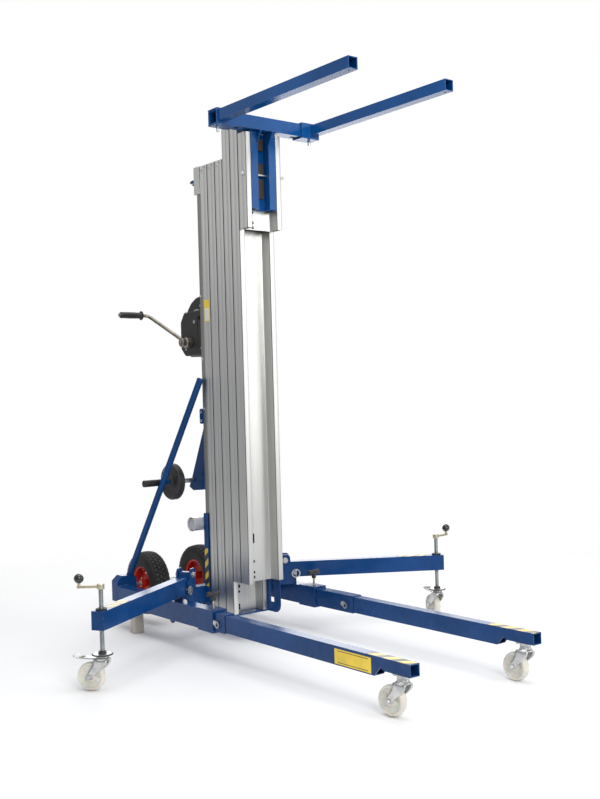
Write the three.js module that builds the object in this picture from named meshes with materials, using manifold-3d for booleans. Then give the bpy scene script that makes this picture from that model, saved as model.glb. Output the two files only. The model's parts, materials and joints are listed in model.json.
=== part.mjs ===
// Telescopic mast material lift, millimetres, +Z up, forks and front legs towards -Y.
// The mast stands on the middle of the base: x = 0 is its centre plane, and the whole
// group is moved at the end so that the origin is at the bottom centre of its box.
import * as THREE from 'three';
import { mergeVertices } from 'three/addons/utils/BufferGeometryUtils.js';
import Module from 'manifold-3d';

const wasm = await Module();
wasm.setup();

// ---- driving dimensions -------------------------------------------------------------
const gap = 0.5;
const mast = { width: 172, pitch: 56.2, depth: 55.7, rearY: 359, wall: 3.5, flange: 25,
  bottomZ: 112, length: 1862, raised: 137, railX: 83.5, railDepth: 28, shoeHeight: 120 };
const carriage = { bottomZ: 1673, topZ: 2052, bracketBottomZ: 1750, bracketTopZ: 2059.6, pinZ: 1890 };
const crossbar = { left: -236, right: 266, frontY: 0, depth: 58, bottomZ: 2060, topZ: 2112, wall: 4 };
const fork = { centre: [-211.5, 243], width: 41, length: 768, bottomZ: 2069, topZ: 2110, wall: 3.5,
  plateInward: 65, plateOutward: 26, plate: 5, slotLength: 90 };
const rail = { centre: [-284, 294], half: 28, bottomZ: 108, topZ: 186, wall: 3.5, rearY: 765 };
const collar = { frontY: [2, 98], length: 106, half: 32, bottomZ: 104, topZ: 190 };
const socket = { frontY: [-66, -137], half: 24, bottomZ: 112, topZ: 182, wall: 2.8, tailY: 330 };
const leg = { half: 20.5, bottomZ: 115.2, topZ: 178.8, wall: 3.5, tipY: -1056, tipBottomZ: 138.5,
  notchY: -895, rootInset: 150, pinInset: 54 };
const castor = { radius: 50, width: 30, trail: 43, plateZ: 131, cheek: 3, axle: 5 };
const frontCastorY = -1003;
const frontCastorAngle = [98, 90];
const arm = { inboard: 48, rootY: 303, angle: 32.5, length: 718, half: 24, bottomZ: 214, topZ: 280,
  wall: 4, pivotS: 15, pivotZ: 287, pinS: 56, pinZ: 233 };
const jack = { inset: 28, discZ: 125, discRadius: 37, screwRadius: 8.5, screwTopZ: 352, crank: 75, ball: 17,
  crankAngle: [141.7, 6.7], castorAngle: [128, 72] };
const axle = { y: 790, z: 178, radius: 10, bracketInner: 72, bracketOuter: 24, intoBracket: 24 };
const tyre = { radius: 140, width: 84, x: 139, rimRadius: 74 };
const brace = { radius: 14, top: [99, 376, 1082], inboard: 46, bottomY: 790, bottomZ: 214 };
const winch = { left: -60, right: 60, frontY: 387.6, rearY: 590, bottomZ: 1182, topZ: 1442, drumY: 470,
  drumZ: 1330, crankY: 505, crankZ: 1243, crankRadius: 253, crankAngle: 31, crankSplay: 28, gripLength: 108 };
const loading = { y: 619, z: 638, radius: 80, wheelX: -100, wheelWidth: 40, left: 8, right: 40 };
const beam = { frontY: 392.6, rearY: 442, bottomZ: 134, topZ: 208 };
const post = { half: 92, plate: 5, frontY: 361, rearY: 392.2, bottomZ: 104.5, topZ: 515 };

// ---- materials ----------------------------------------------------------------------
const finish = (color, roughness, metalness) => new THREE.MeshStandardMaterial({ color, roughness, metalness });
const finishes = {
  blue: () => finish(0x0a3f86, 0.35, 0.1),
  aluminium: () => finish(0xb4b6b5, 0.4, 0.9),
  zinc: () => finish(0xb9b49a, 0.4, 0.9),
  steel: () => finish(0xc4c6c6, 0.3, 1.0),
  black: () => finish(0x1c1d1e, 0.6, 0.0),
  rubber: () => finish(0x202020, 0.85, 0.0),
  red: () => finish(0xc02018, 0.4, 0.0),
  nylon: () => finish(0xd9d7cc, 0.5, 0.0),
  grey: () => finish(0xb9bcc2, 0.5, 0.0),
};

// ---- solids -------------------------------------------------------------------------
function signedVolume(geometry) {
  const place = geometry.getAttribute('position');
  const index = geometry.getIndex();
  const corner = [new THREE.Vector3(), new THREE.Vector3(), new THREE.Vector3()];
  let volume = 0;
  for (let i = 0; i < index.count; i += 3) {
    corner.forEach((point, k) => point.fromBufferAttribute(place, index.getX(i + k)));
    volume += corner[0].dot(corner[1].cross(corner[2])) / 6;
  }
  return volume;
}

// A closed three.js geometry as a manifold solid, turned outwards if it is inside out.
function solidOf(geometry) {
  geometry.deleteAttribute('normal');
  geometry.deleteAttribute('uv');
  const merged = mergeVertices(geometry, 1e-3);
  const triVerts = Uint32Array.from(merged.getIndex().array);
  if (signedVolume(merged) < 0) {
    for (let i = 0; i < triVerts.length; i += 3) {
      [triVerts[i + 1], triVerts[i + 2]] = [triVerts[i + 2], triVerts[i + 1]];
    }
  }
  const vertProperties = Float32Array.from(merged.getAttribute('position').array);
  return new wasm.Manifold(new wasm.Mesh({ numProp: 3, vertProperties, triVerts }));
}

function box(x0, x1, y0, y1, z0, z1) {
  const geometry = new THREE.BoxGeometry(x1 - x0, y1 - y0, z1 - z0);
  geometry.translate((x0 + x1) / 2, (y0 + y1) / 2, (z0 + z1) / 2);
  return solidOf(geometry);
}

function rod(radius, from, to, sides = 14) {
  const a = new THREE.Vector3(...from);
  const b = new THREE.Vector3(...to);
  const along = b.clone().sub(a);
  const geometry = new THREE.CylinderGeometry(radius, radius, along.length(), sides);
  const turn = new THREE.Quaternion().setFromUnitVectors(new THREE.Vector3(0, 1, 0), along.clone().normalize());
  geometry.applyQuaternion(turn);
  geometry.translate(...a.add(b).multiplyScalar(0.5).toArray());
  return solidOf(geometry);
}

// A cylinder at (x, y) from z0 up to z1.
const upright = (radius, x, y, z0, z1, sides = 14) => rod(radius, [x, y, z0], [x, y, z1], sides);

// A cylinder along X at (y, z).
const crosswise = (radius, x0, x1, y, z, sides = 14) => rod(radius, [x0, y, z], [x1, y, z], sides);

function ball(radius, x, y, z) {
  const geometry = new THREE.SphereGeometry(radius, 12, 8);
  geometry.translate(x, y, z);
  return solidOf(geometry);
}

function shapeOf(points) {
  return new THREE.Shape(points.map(([u, v]) => new THREE.Vector2(u, v)));
}

// Outline points are (y, z), swept along X.
function sweepX(points, x0, x1) {
  const geometry = new THREE.ExtrudeGeometry(shapeOf(points), { depth: x1 - x0, bevelEnabled: false });
  const cyclic = new THREE.Matrix4().makeBasis(
    new THREE.Vector3(0, 1, 0), new THREE.Vector3(0, 0, 1), new THREE.Vector3(1, 0, 0));
  geometry.applyMatrix4(cyclic);
  geometry.translate(x0, 0, 0);
  return solidOf(geometry);
}

// Outline points are (x, z), swept along Y.
function sweepY(points, y0, y1) {
  const geometry = new THREE.ExtrudeGeometry(shapeOf(points), { depth: y1 - y0, bevelEnabled: false });
  geometry.rotateX(Math.PI / 2);
  geometry.translate(0, y1, 0);
  return solidOf(geometry);
}

// Outline points are (x, y), swept up Z, with holes given the same way.
function sweepZ(points, z0, z1, holes = []) {
  const shape = shapeOf(points);
  holes.forEach((hole) => shape.holes.push(shapeOf(hole)));
  const geometry = new THREE.ExtrudeGeometry(shape, { depth: z1 - z0, bevelEnabled: false });
  geometry.translate(0, 0, z0);
  return solidOf(geometry);
}

// Profile points are (radius, height along X), turned about X through (y, z).
function turnX(profile, x, y, z, sides) {
  const geometry = new THREE.LatheGeometry(profile.map(([r, h]) => new THREE.Vector2(r, h)), sides);
  geometry.rotateZ(-Math.PI / 2);
  geometry.translate(x, y, z);
  return solidOf(geometry);
}

const join = (first, ...others) => others.reduce((sum, next) => sum.add(next), first);
const cut = (first, ...others) => others.reduce((rest, next) => rest.subtract(next), first);
const rectangle = (x0, x1, y0, y1) => [[x0, y0], [x1, y0], [x1, y1], [x0, y1]];

function tube(x0, x1, y0, y1, z0, z1, wall) {
  return cut(box(x0, x1, y0, y1, z0, z1), box(x0 + wall, x1 - wall, y0 - 1, y1 + 1, z0 + wall, z1 - wall));
}

// ---- the lift, and the pieces added to it -------------------------------------------
const lift = new THREE.Group();

function place(name, solid, material, parent = lift) {
  const { vertProperties, triVerts } = solid.getMesh();
  const geometry = new THREE.BufferGeometry();
  geometry.setAttribute('position', new THREE.BufferAttribute(Float32Array.from(vertProperties), 3));
  geometry.setIndex(new THREE.BufferAttribute(Uint32Array.from(triVerts), 1));
  const piece = new THREE.Mesh(geometry, material());
  piece.name = name;
  parent.add(piece);
  return piece;
}

// ---- mast ---------------------------------------------------------------------------
const sideNames = ['left', 'right'];
const half = mast.width / 2;
const channelHalf = half - mast.flange;

// An aluminium channel, open to the front, with a hollow chamber in each side.
function channel(frontY, bottomZ, topZ) {
  const rearY = frontY + mast.depth;
  const recess = rearY - mast.wall;
  const outline = [[-half, frontY], [-channelHalf, frontY], [-channelHalf, recess], [channelHalf, recess],
    [channelHalf, frontY], [half, frontY], [half, rearY], [-half, rearY]];
  const chambers = [-1, 1].map((side) => {
    const inner = side * (channelHalf + mast.wall);
    const outer = side * (half - mast.wall);
    return rectangle(Math.min(inner, outer), Math.max(inner, outer), frontY + mast.wall, rearY - mast.wall);
  });
  return sweepZ(outline, bottomZ, topZ, chambers);
}

// The sliding shoe behind a section, which runs in the channel of the one behind it.
function shoe(rearY, bottomZ, height) {
  const side = channelHalf - 1;
  return box(-side, side, rearY - 0.4, rearY + mast.depth - mast.wall - 2, bottomZ, bottomZ + height);
}

function makeMast() {
  for (let k = 0; k < 5; k += 1) {
    const frontY = mast.rearY - k * mast.pitch - mast.depth;
    const bottomZ = mast.bottomZ + (k > 2 ? mast.raised : 0);
    let section = channel(frontY, bottomZ, bottomZ + mast.length);
    if (k === 0) {
      [-1, 1].forEach((side) => {
        const inner = side * (mast.railX - 4);
        const outer = side * mast.railX;
        section = section.add(box(Math.min(inner, outer), Math.max(inner, outer), mast.rearY - 1,
          mast.rearY + mast.railDepth, bottomZ, bottomZ + mast.length));
      });
    } else {
      section = section.add(shoe(frontY + mast.depth, bottomZ, mast.shoeHeight));
    }
    place(`mast_section_${k + 1}`, section, finishes.aluminium);
  }
}

function makeCarriage() {
  const frontY = mast.rearY - 5 * mast.pitch - mast.depth;
  const pinY = frontY + 24;
  const pinHole = crosswise(6, -half - 5, half + 5, pinY, carriage.pinZ, 12);
  const body = join(channel(frontY, carriage.bottomZ, carriage.topZ),
    shoe(frontY + mast.depth, carriage.bottomZ, carriage.topZ - carriage.bottomZ - 60));
  place('carriage', cut(body, pinHole), finishes.aluminium);

  const edge = channelHalf - gap;
  const sheet = 5;
  const back = frontY + 43;
  const outline = [[-edge, back], [-edge, frontY], [-27, frontY], [-27, back - sheet], [27, back - sheet],
    [27, frontY], [edge, frontY], [edge, back], [edge - sheet, back], [edge - sheet, frontY + sheet],
    [27 + sheet, frontY + sheet], [27 + sheet, back], [-27 - sheet, back], [-27 - sheet, frontY + sheet],
    [-edge + sheet, frontY + sheet], [-edge + sheet, back]];
  const folded = sweepZ(outline, carriage.bracketBottomZ, carriage.bracketTopZ);
  const gusset = [[frontY + 2, carriage.bracketTopZ - 52], [frontY + 2, carriage.bracketTopZ],
    [frontY - 30, carriage.bracketTopZ], [frontY - 30, carriage.bracketTopZ - 6]];
  const gussets = [-1, 1].map((side) => sweepX(gusset, side * 29.5 - 2.5, side * 29.5 + 2.5));
  place('carriage_bracket', cut(join(folded, ...gussets), pinHole), finishes.blue);

  const pin = join(crosswise(5.2, -half - 8, half + 30, pinY, carriage.pinZ, 12),
    crosswise(10, -half - 9, -half - 1, pinY, carriage.pinZ, 6));
  place('carriage_lock_pin', pin, finishes.steel);
}

function makeCrossbar() {
  const { left, right, frontY, depth, bottomZ, topZ, wall } = crossbar;
  const middleY = frontY + depth / 2;
  let bar = cut(box(left, right, frontY, frontY + depth, bottomZ, topZ),
    box(left - 1, right + 1, frontY + wall, frontY + depth - wall, bottomZ + wall, topZ - wall));
  fork.centre.forEach((x, i) => {
    const inward = i === 0 ? 1 : -1;
    const ends = [x - inward * 8, x + inward * (fork.slotLength + 8)];
    bar = cut(bar, box(Math.min(...ends), Math.max(...ends), middleY - 8, middleY + 8, bottomZ - 1, topZ + 1));
    bar = cut(bar, rod(6, [x + inward * 55, frontY - 1, bottomZ + 30], [x + inward * 55, frontY + wall + 1,
      bottomZ + 30], 10));
  });
  place('crossbar', bar, finishes.blue);
}

function makeFork(i) {
  const x = fork.centre[i];
  const middleY = crossbar.frontY + crossbar.depth / 2;
  const rootY = crossbar.frontY - gap;
  const low = crossbar.bottomZ - gap;
  const high = crossbar.topZ + gap;
  const reach = crossbar.frontY + crossbar.depth - 2;
  const wide = i === 0 ? [x - fork.plateOutward, x + fork.plateInward]
    : [x - fork.plateInward, x + fork.plateOutward];
  const arms = tube(x - fork.width / 2, x + fork.width / 2, -fork.length, rootY - 2, fork.bottomZ, fork.topZ, fork.wall);
  const clevis = join(box(...wide, rootY - 6, rootY, low - fork.plate, high + fork.plate),
    box(...wide, rootY - 1, reach, high, high + fork.plate),
    box(...wide, rootY - 1, reach, low - fork.plate, low));
  const pinHole = upright(6.6, x, middleY, low - 20, high + 20, 12);
  const tipHole = upright(5, x, -fork.length + 20, fork.bottomZ - 5, fork.bottomZ + 10, 10);
  place(`fork_${sideNames[i]}`, cut(join(arms, clevis), pinHole, tipHole), finishes.blue);

  const ringZ = high + fork.plate + gap;
  const ring = cut(upright(16, x + 20, middleY, ringZ, ringZ + 4, 16), upright(11, x + 20, middleY, ringZ - 1, ringZ + 5, 16));
  const pin = join(upright(5.8, x, middleY, low - 26, ringZ + 6, 12), upright(9, x, middleY, ringZ, ringZ + 6, 12), ring);
  place(`fork_pin_${sideNames[i]}`, pin, finishes.steel);
}

// ---- base frame ---------------------------------------------------------------------
// A point on a stabiliser arm: s along it from its root, n to its front side, z up.
function armPoint(side, s, n, z) {
  const turn = THREE.MathUtils.degToRad(arm.angle);
  const out = [Math.cos(turn), -Math.sin(turn)];
  const front = [-Math.sin(turn), -Math.cos(turn)];
  const rootX = rail.centre[side < 0 ? 0 : 1] - side * arm.inboard;
  return [rootX + side * (s * out[0] + n * front[0]), arm.rootY + s * out[1] + n * front[1], z];
}

// A vertical plate along an arm: outline points are (s, z), between the offsets n0 and n1.
function armPlate(side, points, n0, n1) {
  const flat = shapeOf(points);
  const geometry = new THREE.ExtrudeGeometry(flat, { depth: n1 - n0, bevelEnabled: false });
  const place3 = geometry.getAttribute('position');
  for (let i = 0; i < place3.count; i += 1) {
    const spot = armPoint(side, place3.getX(i), n0 + place3.getZ(i), place3.getY(i));
    place3.setXYZ(i, ...spot);
  }
  return solidOf(geometry);
}

function makeRail(i) {
  const side = i === 0 ? -1 : 1;
  const x = rail.centre[i];
  const front = collar.frontY[i];
  const rear = front + collar.length;
  let body = join(box(x - rail.half, x + rail.half, rear - 5, rail.rearY, rail.bottomZ, rail.topZ),
    box(x - collar.half, x + collar.half, front, rear, collar.bottomZ, collar.topZ));
  const bore = rail.half - rail.wall;
  body = cut(body, box(x - bore, x + bore, front - 1, rail.rearY + 1, rail.bottomZ + rail.wall,
    rail.topZ - rail.wall), upright(5.5, x, front + 40, rail.topZ - 10, collar.topZ + 5, 12));
  const lug = [[-12, rail.topZ - 2], [62, rail.topZ - 2], [62, arm.pinZ - 8], [50, arm.pinZ - 8],
    [50, arm.pinZ + 12], [62, arm.pinZ + 18], [62, 262], [40, 270], [36, 304], [28, 312], [0, 312], [-12, 300]];
  const inner = arm.half + 1.5;
  const pivotBore = rod(7, armPoint(side, arm.pivotS, -40, arm.pivotZ), armPoint(side, arm.pivotS, 40, arm.pivotZ), 14);
  const lugs = [[inner, inner + 6], [-inner - 6, -inner]].map(([n0, n1]) => armPlate(side, lug, n0, n1));
  body = join(body, ...lugs.map((plate) => cut(plate, pivotBore)));
  place(`rail_${sideNames[i]}`, body, finishes.blue);

  const foot = sweepX([[620, 0], [664, 0], [660, 60], [660, 107.5], [624, 107.5], [624, 60]], x - 23, x + 23);
  place(`rear_foot_${sideNames[i]}`, foot, finishes.grey);
}

function makeBaseFrame() {
  const left = rail.centre[0] + rail.half + gap;
  const right = rail.centre[1] - rail.half - gap;
  const bar = cut(box(left, right, beam.frontY, beam.rearY, beam.bottomZ, beam.topZ),
    box(left - 1, right + 1, beam.frontY + 4, beam.rearY - 4, beam.bottomZ + 4, beam.topZ - 4));
  place('cross_beam', bar, finishes.blue);

  const { plate, frontY, rearY, bottomZ, topZ } = post;
  const saddle = cut(box(-post.half, post.half, frontY, rearY, bottomZ, topZ),
    box(-post.half + plate, post.half - plate, frontY - 1, rearY - 3.5, bottomZ + 6.5, topZ + 1));
  const floorPlate = box(-post.half, post.half, 190, frontY + 1, bottomZ, bottomZ + 6.5);
  const corner = 34;
  const arc = [0, 30, 60, 90].map((deg) => {
    const turn = THREE.MathUtils.degToRad(deg);
    return [106 + corner - corner * Math.sin(turn), bottomZ + corner - corner * Math.cos(turn)];
  });
  const cheek = sweepX([[frontY + 1, bottomZ], ...arc, [106, 330], [frontY + 1, 330]], post.half - plate, post.half);
  const slot = box(post.half - plate - 1, post.half + 1, 150, 173, 146, 240);
  place('mast_post', cut(join(saddle, floorPlate, cheek), slot), finishes.blue);

  const bracketFace = rail.centre.map((x, i) => x + (i === 0 ? 1 : -1) * axle.bracketInner);
  place('wheel_axle', crosswise(axle.radius, bracketFace[0] - axle.intoBracket + 2,
    bracketFace[1] + axle.intoBracket - 2, axle.y, axle.z, 14), finishes.zinc);
  rail.centre.forEach((x, i) => makeBrace(i, x, i === 0 ? -1 : 1));
}

// The closed box behind a rail that holds the axle, with the strut up to the mast.
function makeBrace(i, x, side) {
  const inner = x - side * axle.bracketInner;
  const outer = x + side * axle.bracketOuter;
  const outline = [[outer, 118], [inner, 118], [inner, 214], [inner + side * 14, 228], [outer - side * 26, 228],
    [outer, 206]];
  const bracket = sweepY(outline, rail.rearY + gap, axle.y + 26);
  const socketHole = crosswise(axle.radius + gap, Math.min(inner - side, inner + side * axle.intoBracket),
    Math.max(inner - side, inner + side * axle.intoBracket), axle.y, axle.z, 14);
  const [tx, ty, tz] = brace.top;
  const strut = rod(brace.radius, [side * tx, ty, tz], [x - side * brace.inboard, brace.bottomY, brace.bottomZ], 14);
  place(`brace_${sideNames[i]}`, join(cut(bracket, socketHole), strut), finishes.blue);
}

// ---- front legs ---------------------------------------------------------------------
function makeLeg(i) {
  const x = rail.centre[i];
  const front = socket.frontY[i];
  const pinY = front + leg.pinInset;
  const pinZ = (leg.bottomZ + leg.topZ) / 2;
  const pinHole = crosswise(5.6, x - 60, x + 60, pinY, pinZ, 12);
  const sleeve = tube(x - socket.half, x + socket.half, front, socket.tailY, socket.bottomZ, socket.topZ, socket.wall);
  place(`leg_socket_${sideNames[i]}`, cut(sleeve, pinHole), finishes.blue);

  const { bottomZ, topZ, tipY, tipBottomZ, notchY } = leg;
  const outline = [[front + leg.rootInset, bottomZ], [front + leg.rootInset, topZ], [tipY, topZ],
    [tipY, tipBottomZ], [notchY - 46, tipBottomZ], [notchY - 28, tipBottomZ + 8], [notchY, bottomZ]];
  const solid = sweepX(outline.reverse(), x - leg.half, x + leg.half);
  const hollow = join(box(x - leg.half + leg.wall, x + leg.half - leg.wall, tipY - 1, notchY - 46, tipBottomZ + leg.wall,
    topZ - leg.wall), box(x - leg.half + leg.wall, x + leg.half - leg.wall, notchY - 47, front + leg.rootInset + 1,
    bottomZ + leg.wall, topZ - leg.wall));
  place(`leg_${sideNames[i]}`, cut(solid, hollow, pinHole), finishes.blue);

  const headX = x - socket.half - gap;
  const ring = cut(crosswise(13, headX - 9, headX - 6, pinY - 14, pinZ - 6, 14), crosswise(9, headX - 10, headX - 5,
    pinY - 14, pinZ - 6, 14));
  const pin = join(crosswise(5, headX - 2, x + socket.half + 8, pinY, pinZ, 12),
    crosswise(10, headX - 9, headX, pinY, pinZ, 14), ring);
  place(`leg_pin_${sideNames[i]}`, pin, finishes.steel);

  const knobY = collar.frontY[i] + 40;
  const knob = join(upright(4.8, x, knobY, socket.topZ + gap, 232, 12), upright(9, x, knobY, 222, 236, 12),
    box(x - 29, x + 29, knobY - 9, knobY + 9, 234, 258));
  place(`clamp_knob_${sideNames[i]}`, knob, finishes.black);
}

// ---- castors ------------------------------------------------------------------------
// Two nested groups hold a castor: the swivel at (x, y), turned so that the wheel trails
// in the direction of angle, measured from +X.
function makeCastor(name, x, y, topZ, angle, braked) {
  const swivel = new THREE.Group();
  swivel.position.set(x, y, 0);
  swivel.rotation.z = THREE.MathUtils.degToRad(angle);
  lift.add(swivel);
  const { radius, width, trail, cheek } = castor;
  const cheekTop = 112;
  const outline = [[-22, cheekTop], [-22, 96], [trail - 12, 42], [trail, 37], [trail + 12, 42], [trail + 14, 54],
    [26, cheekTop]].map(([u, v]) => [u, v]);
  const inner = width / 2 + 2;
  const cheeks = [[-inner - cheek, -inner], [inner, inner + cheek]].map(([y0, y1]) => sweepY(outline, y0, y1));
  let yoke = join(box(-22, 26, -inner - cheek, inner + cheek, cheekTop - 3, cheekTop + 1), ...cheeks,
    upright(20, 0, 0, cheekTop, topZ, 18),
    rod(castor.axle, [trail, -inner - 5, radius], [trail, inner + 5, radius], 12));
  if (braked) {
    const pedal = [[20, cheekTop - 2], [104, 110], [108, 116], [100, 122], [20, cheekTop + 4]];
    yoke = yoke.add(sweepY(pedal, -18, 18));
  }
  place(`castor_fork_${name}`, yoke, finishes.zinc, swivel);

  const bore = castor.axle + gap;
  const section = [[bore, -15], [44, -15], [radius, -10], [radius, 10], [44, 15], [bore, 15], [bore, -15]];
  const wheel = new THREE.LatheGeometry(section.map(([r, h]) => new THREE.Vector2(r, h)), 28);
  wheel.translate(trail, 0, radius);
  place(`castor_wheel_${name}`, solidOf(wheel), finishes.nylon, swivel);
}

// ---- side stabilisers ---------------------------------------------------------------
function makeStabiliser(i) {
  const side = i === 0 ? -1 : 1;
  const name = sideNames[i];
  const { length, half: h, bottomZ, topZ, wall, pivotS, pivotZ, pinS, pinZ } = arm;
  const jackS = length - jack.inset;
  const outline = rectangle(0, length, bottomZ, topZ);
  const bore = rectangle(-1, length - wall, bottomZ + wall, topZ - wall);
  const ear = [[2, topZ - 3], [30, topZ - 3], [26, 298], [6, 298]];
  const tubeBody = cut(armPlate(side, outline, -h, h), armPlate(side, bore, -h + wall, h - wall));
  const [jx, jy] = armPoint(side, jackS, 0, 0);
  const pinHole = rod(5.6, armPoint(side, pinS, -h + 8, pinZ), armPoint(side, pinS, h + 4, pinZ), 12);
  const screwHole = upright(jack.screwRadius + 1, jx, jy, bottomZ - 5, topZ + 9, 16);
  const collarNut = upright(18, jx, jy, topZ - 1, topZ + 5, 16);
  const pivot = rod(6.5, armPoint(side, pivotS, -h - 11, pivotZ), armPoint(side, pivotS, h + 11, pivotZ), 14);
  const body = cut(join(tubeBody, armPlate(side, ear, -h, h), collarNut), pinHole, screwHole);
  place(`stabiliser_arm_${name}`, join(body, pivot), finishes.blue);

  const lugFace = h + 8;
  const ringAt = (n0, n1, r) => rod(r, armPoint(side, pinS + 4, n0, pinZ - 2), armPoint(side, pinS + 4, n1, pinZ - 2), 16);
  const ring = cut(ringAt(lugFace + 8, lugFace + 11, 19), ringAt(lugFace + 7, lugFace + 12, 15));
  const bar = rod(2.5, armPoint(side, pinS + 4, lugFace + 9.5, pinZ - 18), armPoint(side, pinS + 4, lugFace + 9.5, pinZ + 14), 8);
  const pin = join(rod(5, armPoint(side, pinS, -h + 9, pinZ), armPoint(side, pinS, lugFace + 11, pinZ), 12),
    rod(8, armPoint(side, pinS, lugFace + gap, pinZ), armPoint(side, pinS, lugFace + 8, pinZ), 12), ring, bar);
  place(`arm_pin_${name}`, pin, finishes.steel);

  const { discZ, discRadius, screwRadius, screwTopZ, crank, ball: knob } = jack;
  place(`jack_foot_${name}`, join(upright(discRadius, jx, jy, discZ, discZ + 4, 24),
    upright(14, jx, jy, discZ + 3, discZ + 13, 16)), finishes.zinc);
  const screw = join(upright(screwRadius, 0, 0, discZ + 13 + gap, screwTopZ + 12, 16),
    upright(13, 0, 0, screwTopZ, screwTopZ + 18, 14), box(0, crank + 8, -7, 7, screwTopZ + 3, screwTopZ + 13),
    upright(5, crank, 0, screwTopZ + 4, screwTopZ + 24, 10), ball(knob, crank, 0, screwTopZ + 38));
  const piece = place(`jack_screw_${name}`, screw, finishes.zinc);
  piece.position.set(jx, jy, 0);
  piece.rotation.z = THREE.MathUtils.degToRad(jack.crankAngle[i]);
  makeCastor(`jack_${name}`, jx, jy, discZ - gap, jack.castorAngle[i], true);
}

// ---- transport wheels ---------------------------------------------------------------
function makeTransportWheel(i) {
  const side = i === 0 ? -1 : 1;
  const w = tyre.width / 2;
  const { radius, rimRadius } = tyre;
  const seat = rimRadius + gap;
  const section = [[seat, -30], [seat + 16, -w], [radius - 24, -w], [radius - 6, -w + 12], [radius, -10], [radius, 10],
    [radius - 6, w - 12], [radius - 24, w], [seat + 16, w], [seat, 30], [seat, -30]];
  place(`tyre_${sideNames[i]}`, turnX(section, side * tyre.x, axle.y, axle.z, 28), finishes.rubber);

  const bore = axle.radius + gap;
  const rimProfile = [[rimRadius - 8, -26], [rimRadius, -30], [rimRadius, 30], [rimRadius - 8, 26], [rimRadius - 8, -26]];
  const hub = [[bore, -30], [24, -30], [24, 30], [bore, 30], [bore, -30]];
  const parts = [turnX(rimProfile, side * tyre.x, axle.y, axle.z, 28), turnX(hub, side * tyre.x, axle.y, axle.z, 20)];
  for (let k = 0; k < 5; k += 1) {
    const turn = (k * 2 * Math.PI) / 5;
    const ray = (r) => [axle.y + r * Math.sin(turn), axle.z + r * Math.cos(turn)];
    const spoke = new THREE.BoxGeometry(16, 22, rimRadius - 4 - 20);
    spoke.translate(0, 0, (rimRadius - 4 + 20) / 2);
    spoke.rotateX(-turn);
    spoke.translate(side * tyre.x, ray(0)[0], ray(0)[1]);
    parts.push(solidOf(spoke));
  }
  place(`wheel_rim_${sideNames[i]}`, join(...parts), finishes.red);
}

// ---- rear fittings ------------------------------------------------------------------
function makeWinch() {
  const { left, right, frontY, rearY, bottomZ, topZ, drumY, drumZ, crankY, crankZ } = winch;
  const roundTop = [0, 18, 36, 54, 72, 90].map((deg) => {
    const turn = THREE.MathUtils.degToRad(deg);
    return [rearY - 130 + 130 * Math.cos(turn), topZ - 130 + 130 * Math.sin(turn)];
  });
  const outline = [[frontY, bottomZ], [rearY - 40, bottomZ], [rearY, bottomZ + 40], ...roundTop,
    [frontY + 20, topZ - 8], [frontY, topZ - 30]];
  const shell = sweepX(outline, left, right);
  const drumBay = join(box(left + 10, right - 10, frontY - 1, drumY, drumZ - 62, drumZ + 62),
    crosswise(62, left + 10, right - 10, drumY, drumZ, 20));
  const bores = [crosswise(9, left - 1, right + 1, drumY, drumZ, 12), crosswise(11, left - 1, left + 30, crankY, crankZ, 12)];
  place('winch_housing', cut(shell, drumBay, ...bores), finishes.black);

  const drum = join(crosswise(34, left + 16, right - 16, drumY, drumZ, 20), crosswise(56, left + 12, left + 17, drumY, drumZ, 20),
    crosswise(56, right - 17, right - 12, drumY, drumZ, 20), crosswise(8, left - 4, right + 4, drumY, drumZ, 12));
  place('winch_drum', drum, finishes.steel);

  const turn = THREE.MathUtils.degToRad(winch.crankAngle);
  const endY = crankY + winch.crankRadius * Math.cos(turn);
  const endZ = crankZ + winch.crankRadius * Math.sin(turn);
  const bendX = left - 54 - winch.crankSplay;
  const crank = join(crosswise(10, left - 54, left + 28, crankY, crankZ, 14),
    crosswise(23, left - 50, left - gap, crankY, crankZ, 18),
    rod(8, [left - 54, crankY, crankZ], [bendX, endY, endZ], 12), ball(8, left - 54, crankY, crankZ),
    ball(8, bendX, endY, endZ), rod(7, [bendX, endY, endZ], [bendX - 145, endY, endZ], 12));
  place('winch_crank', crank, finishes.zinc);
  const gripBore = 7 + gap;
  const grip = [[gripBore, 0], [20, 0], [20, -12], [15, -18], [14, -60], [15, -100], [13, -108], [gripBore, -108],
    [gripBore, 0]];
  place('crank_grip', turnX(grip, bendX - 32, endY, endZ, 16), finishes.black);

  const cable = rod(2.5, [0, 420, topZ + 2], [0, 420, 1858], 8);
  place('lift_cable', cable, finishes.steel);
}

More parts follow.
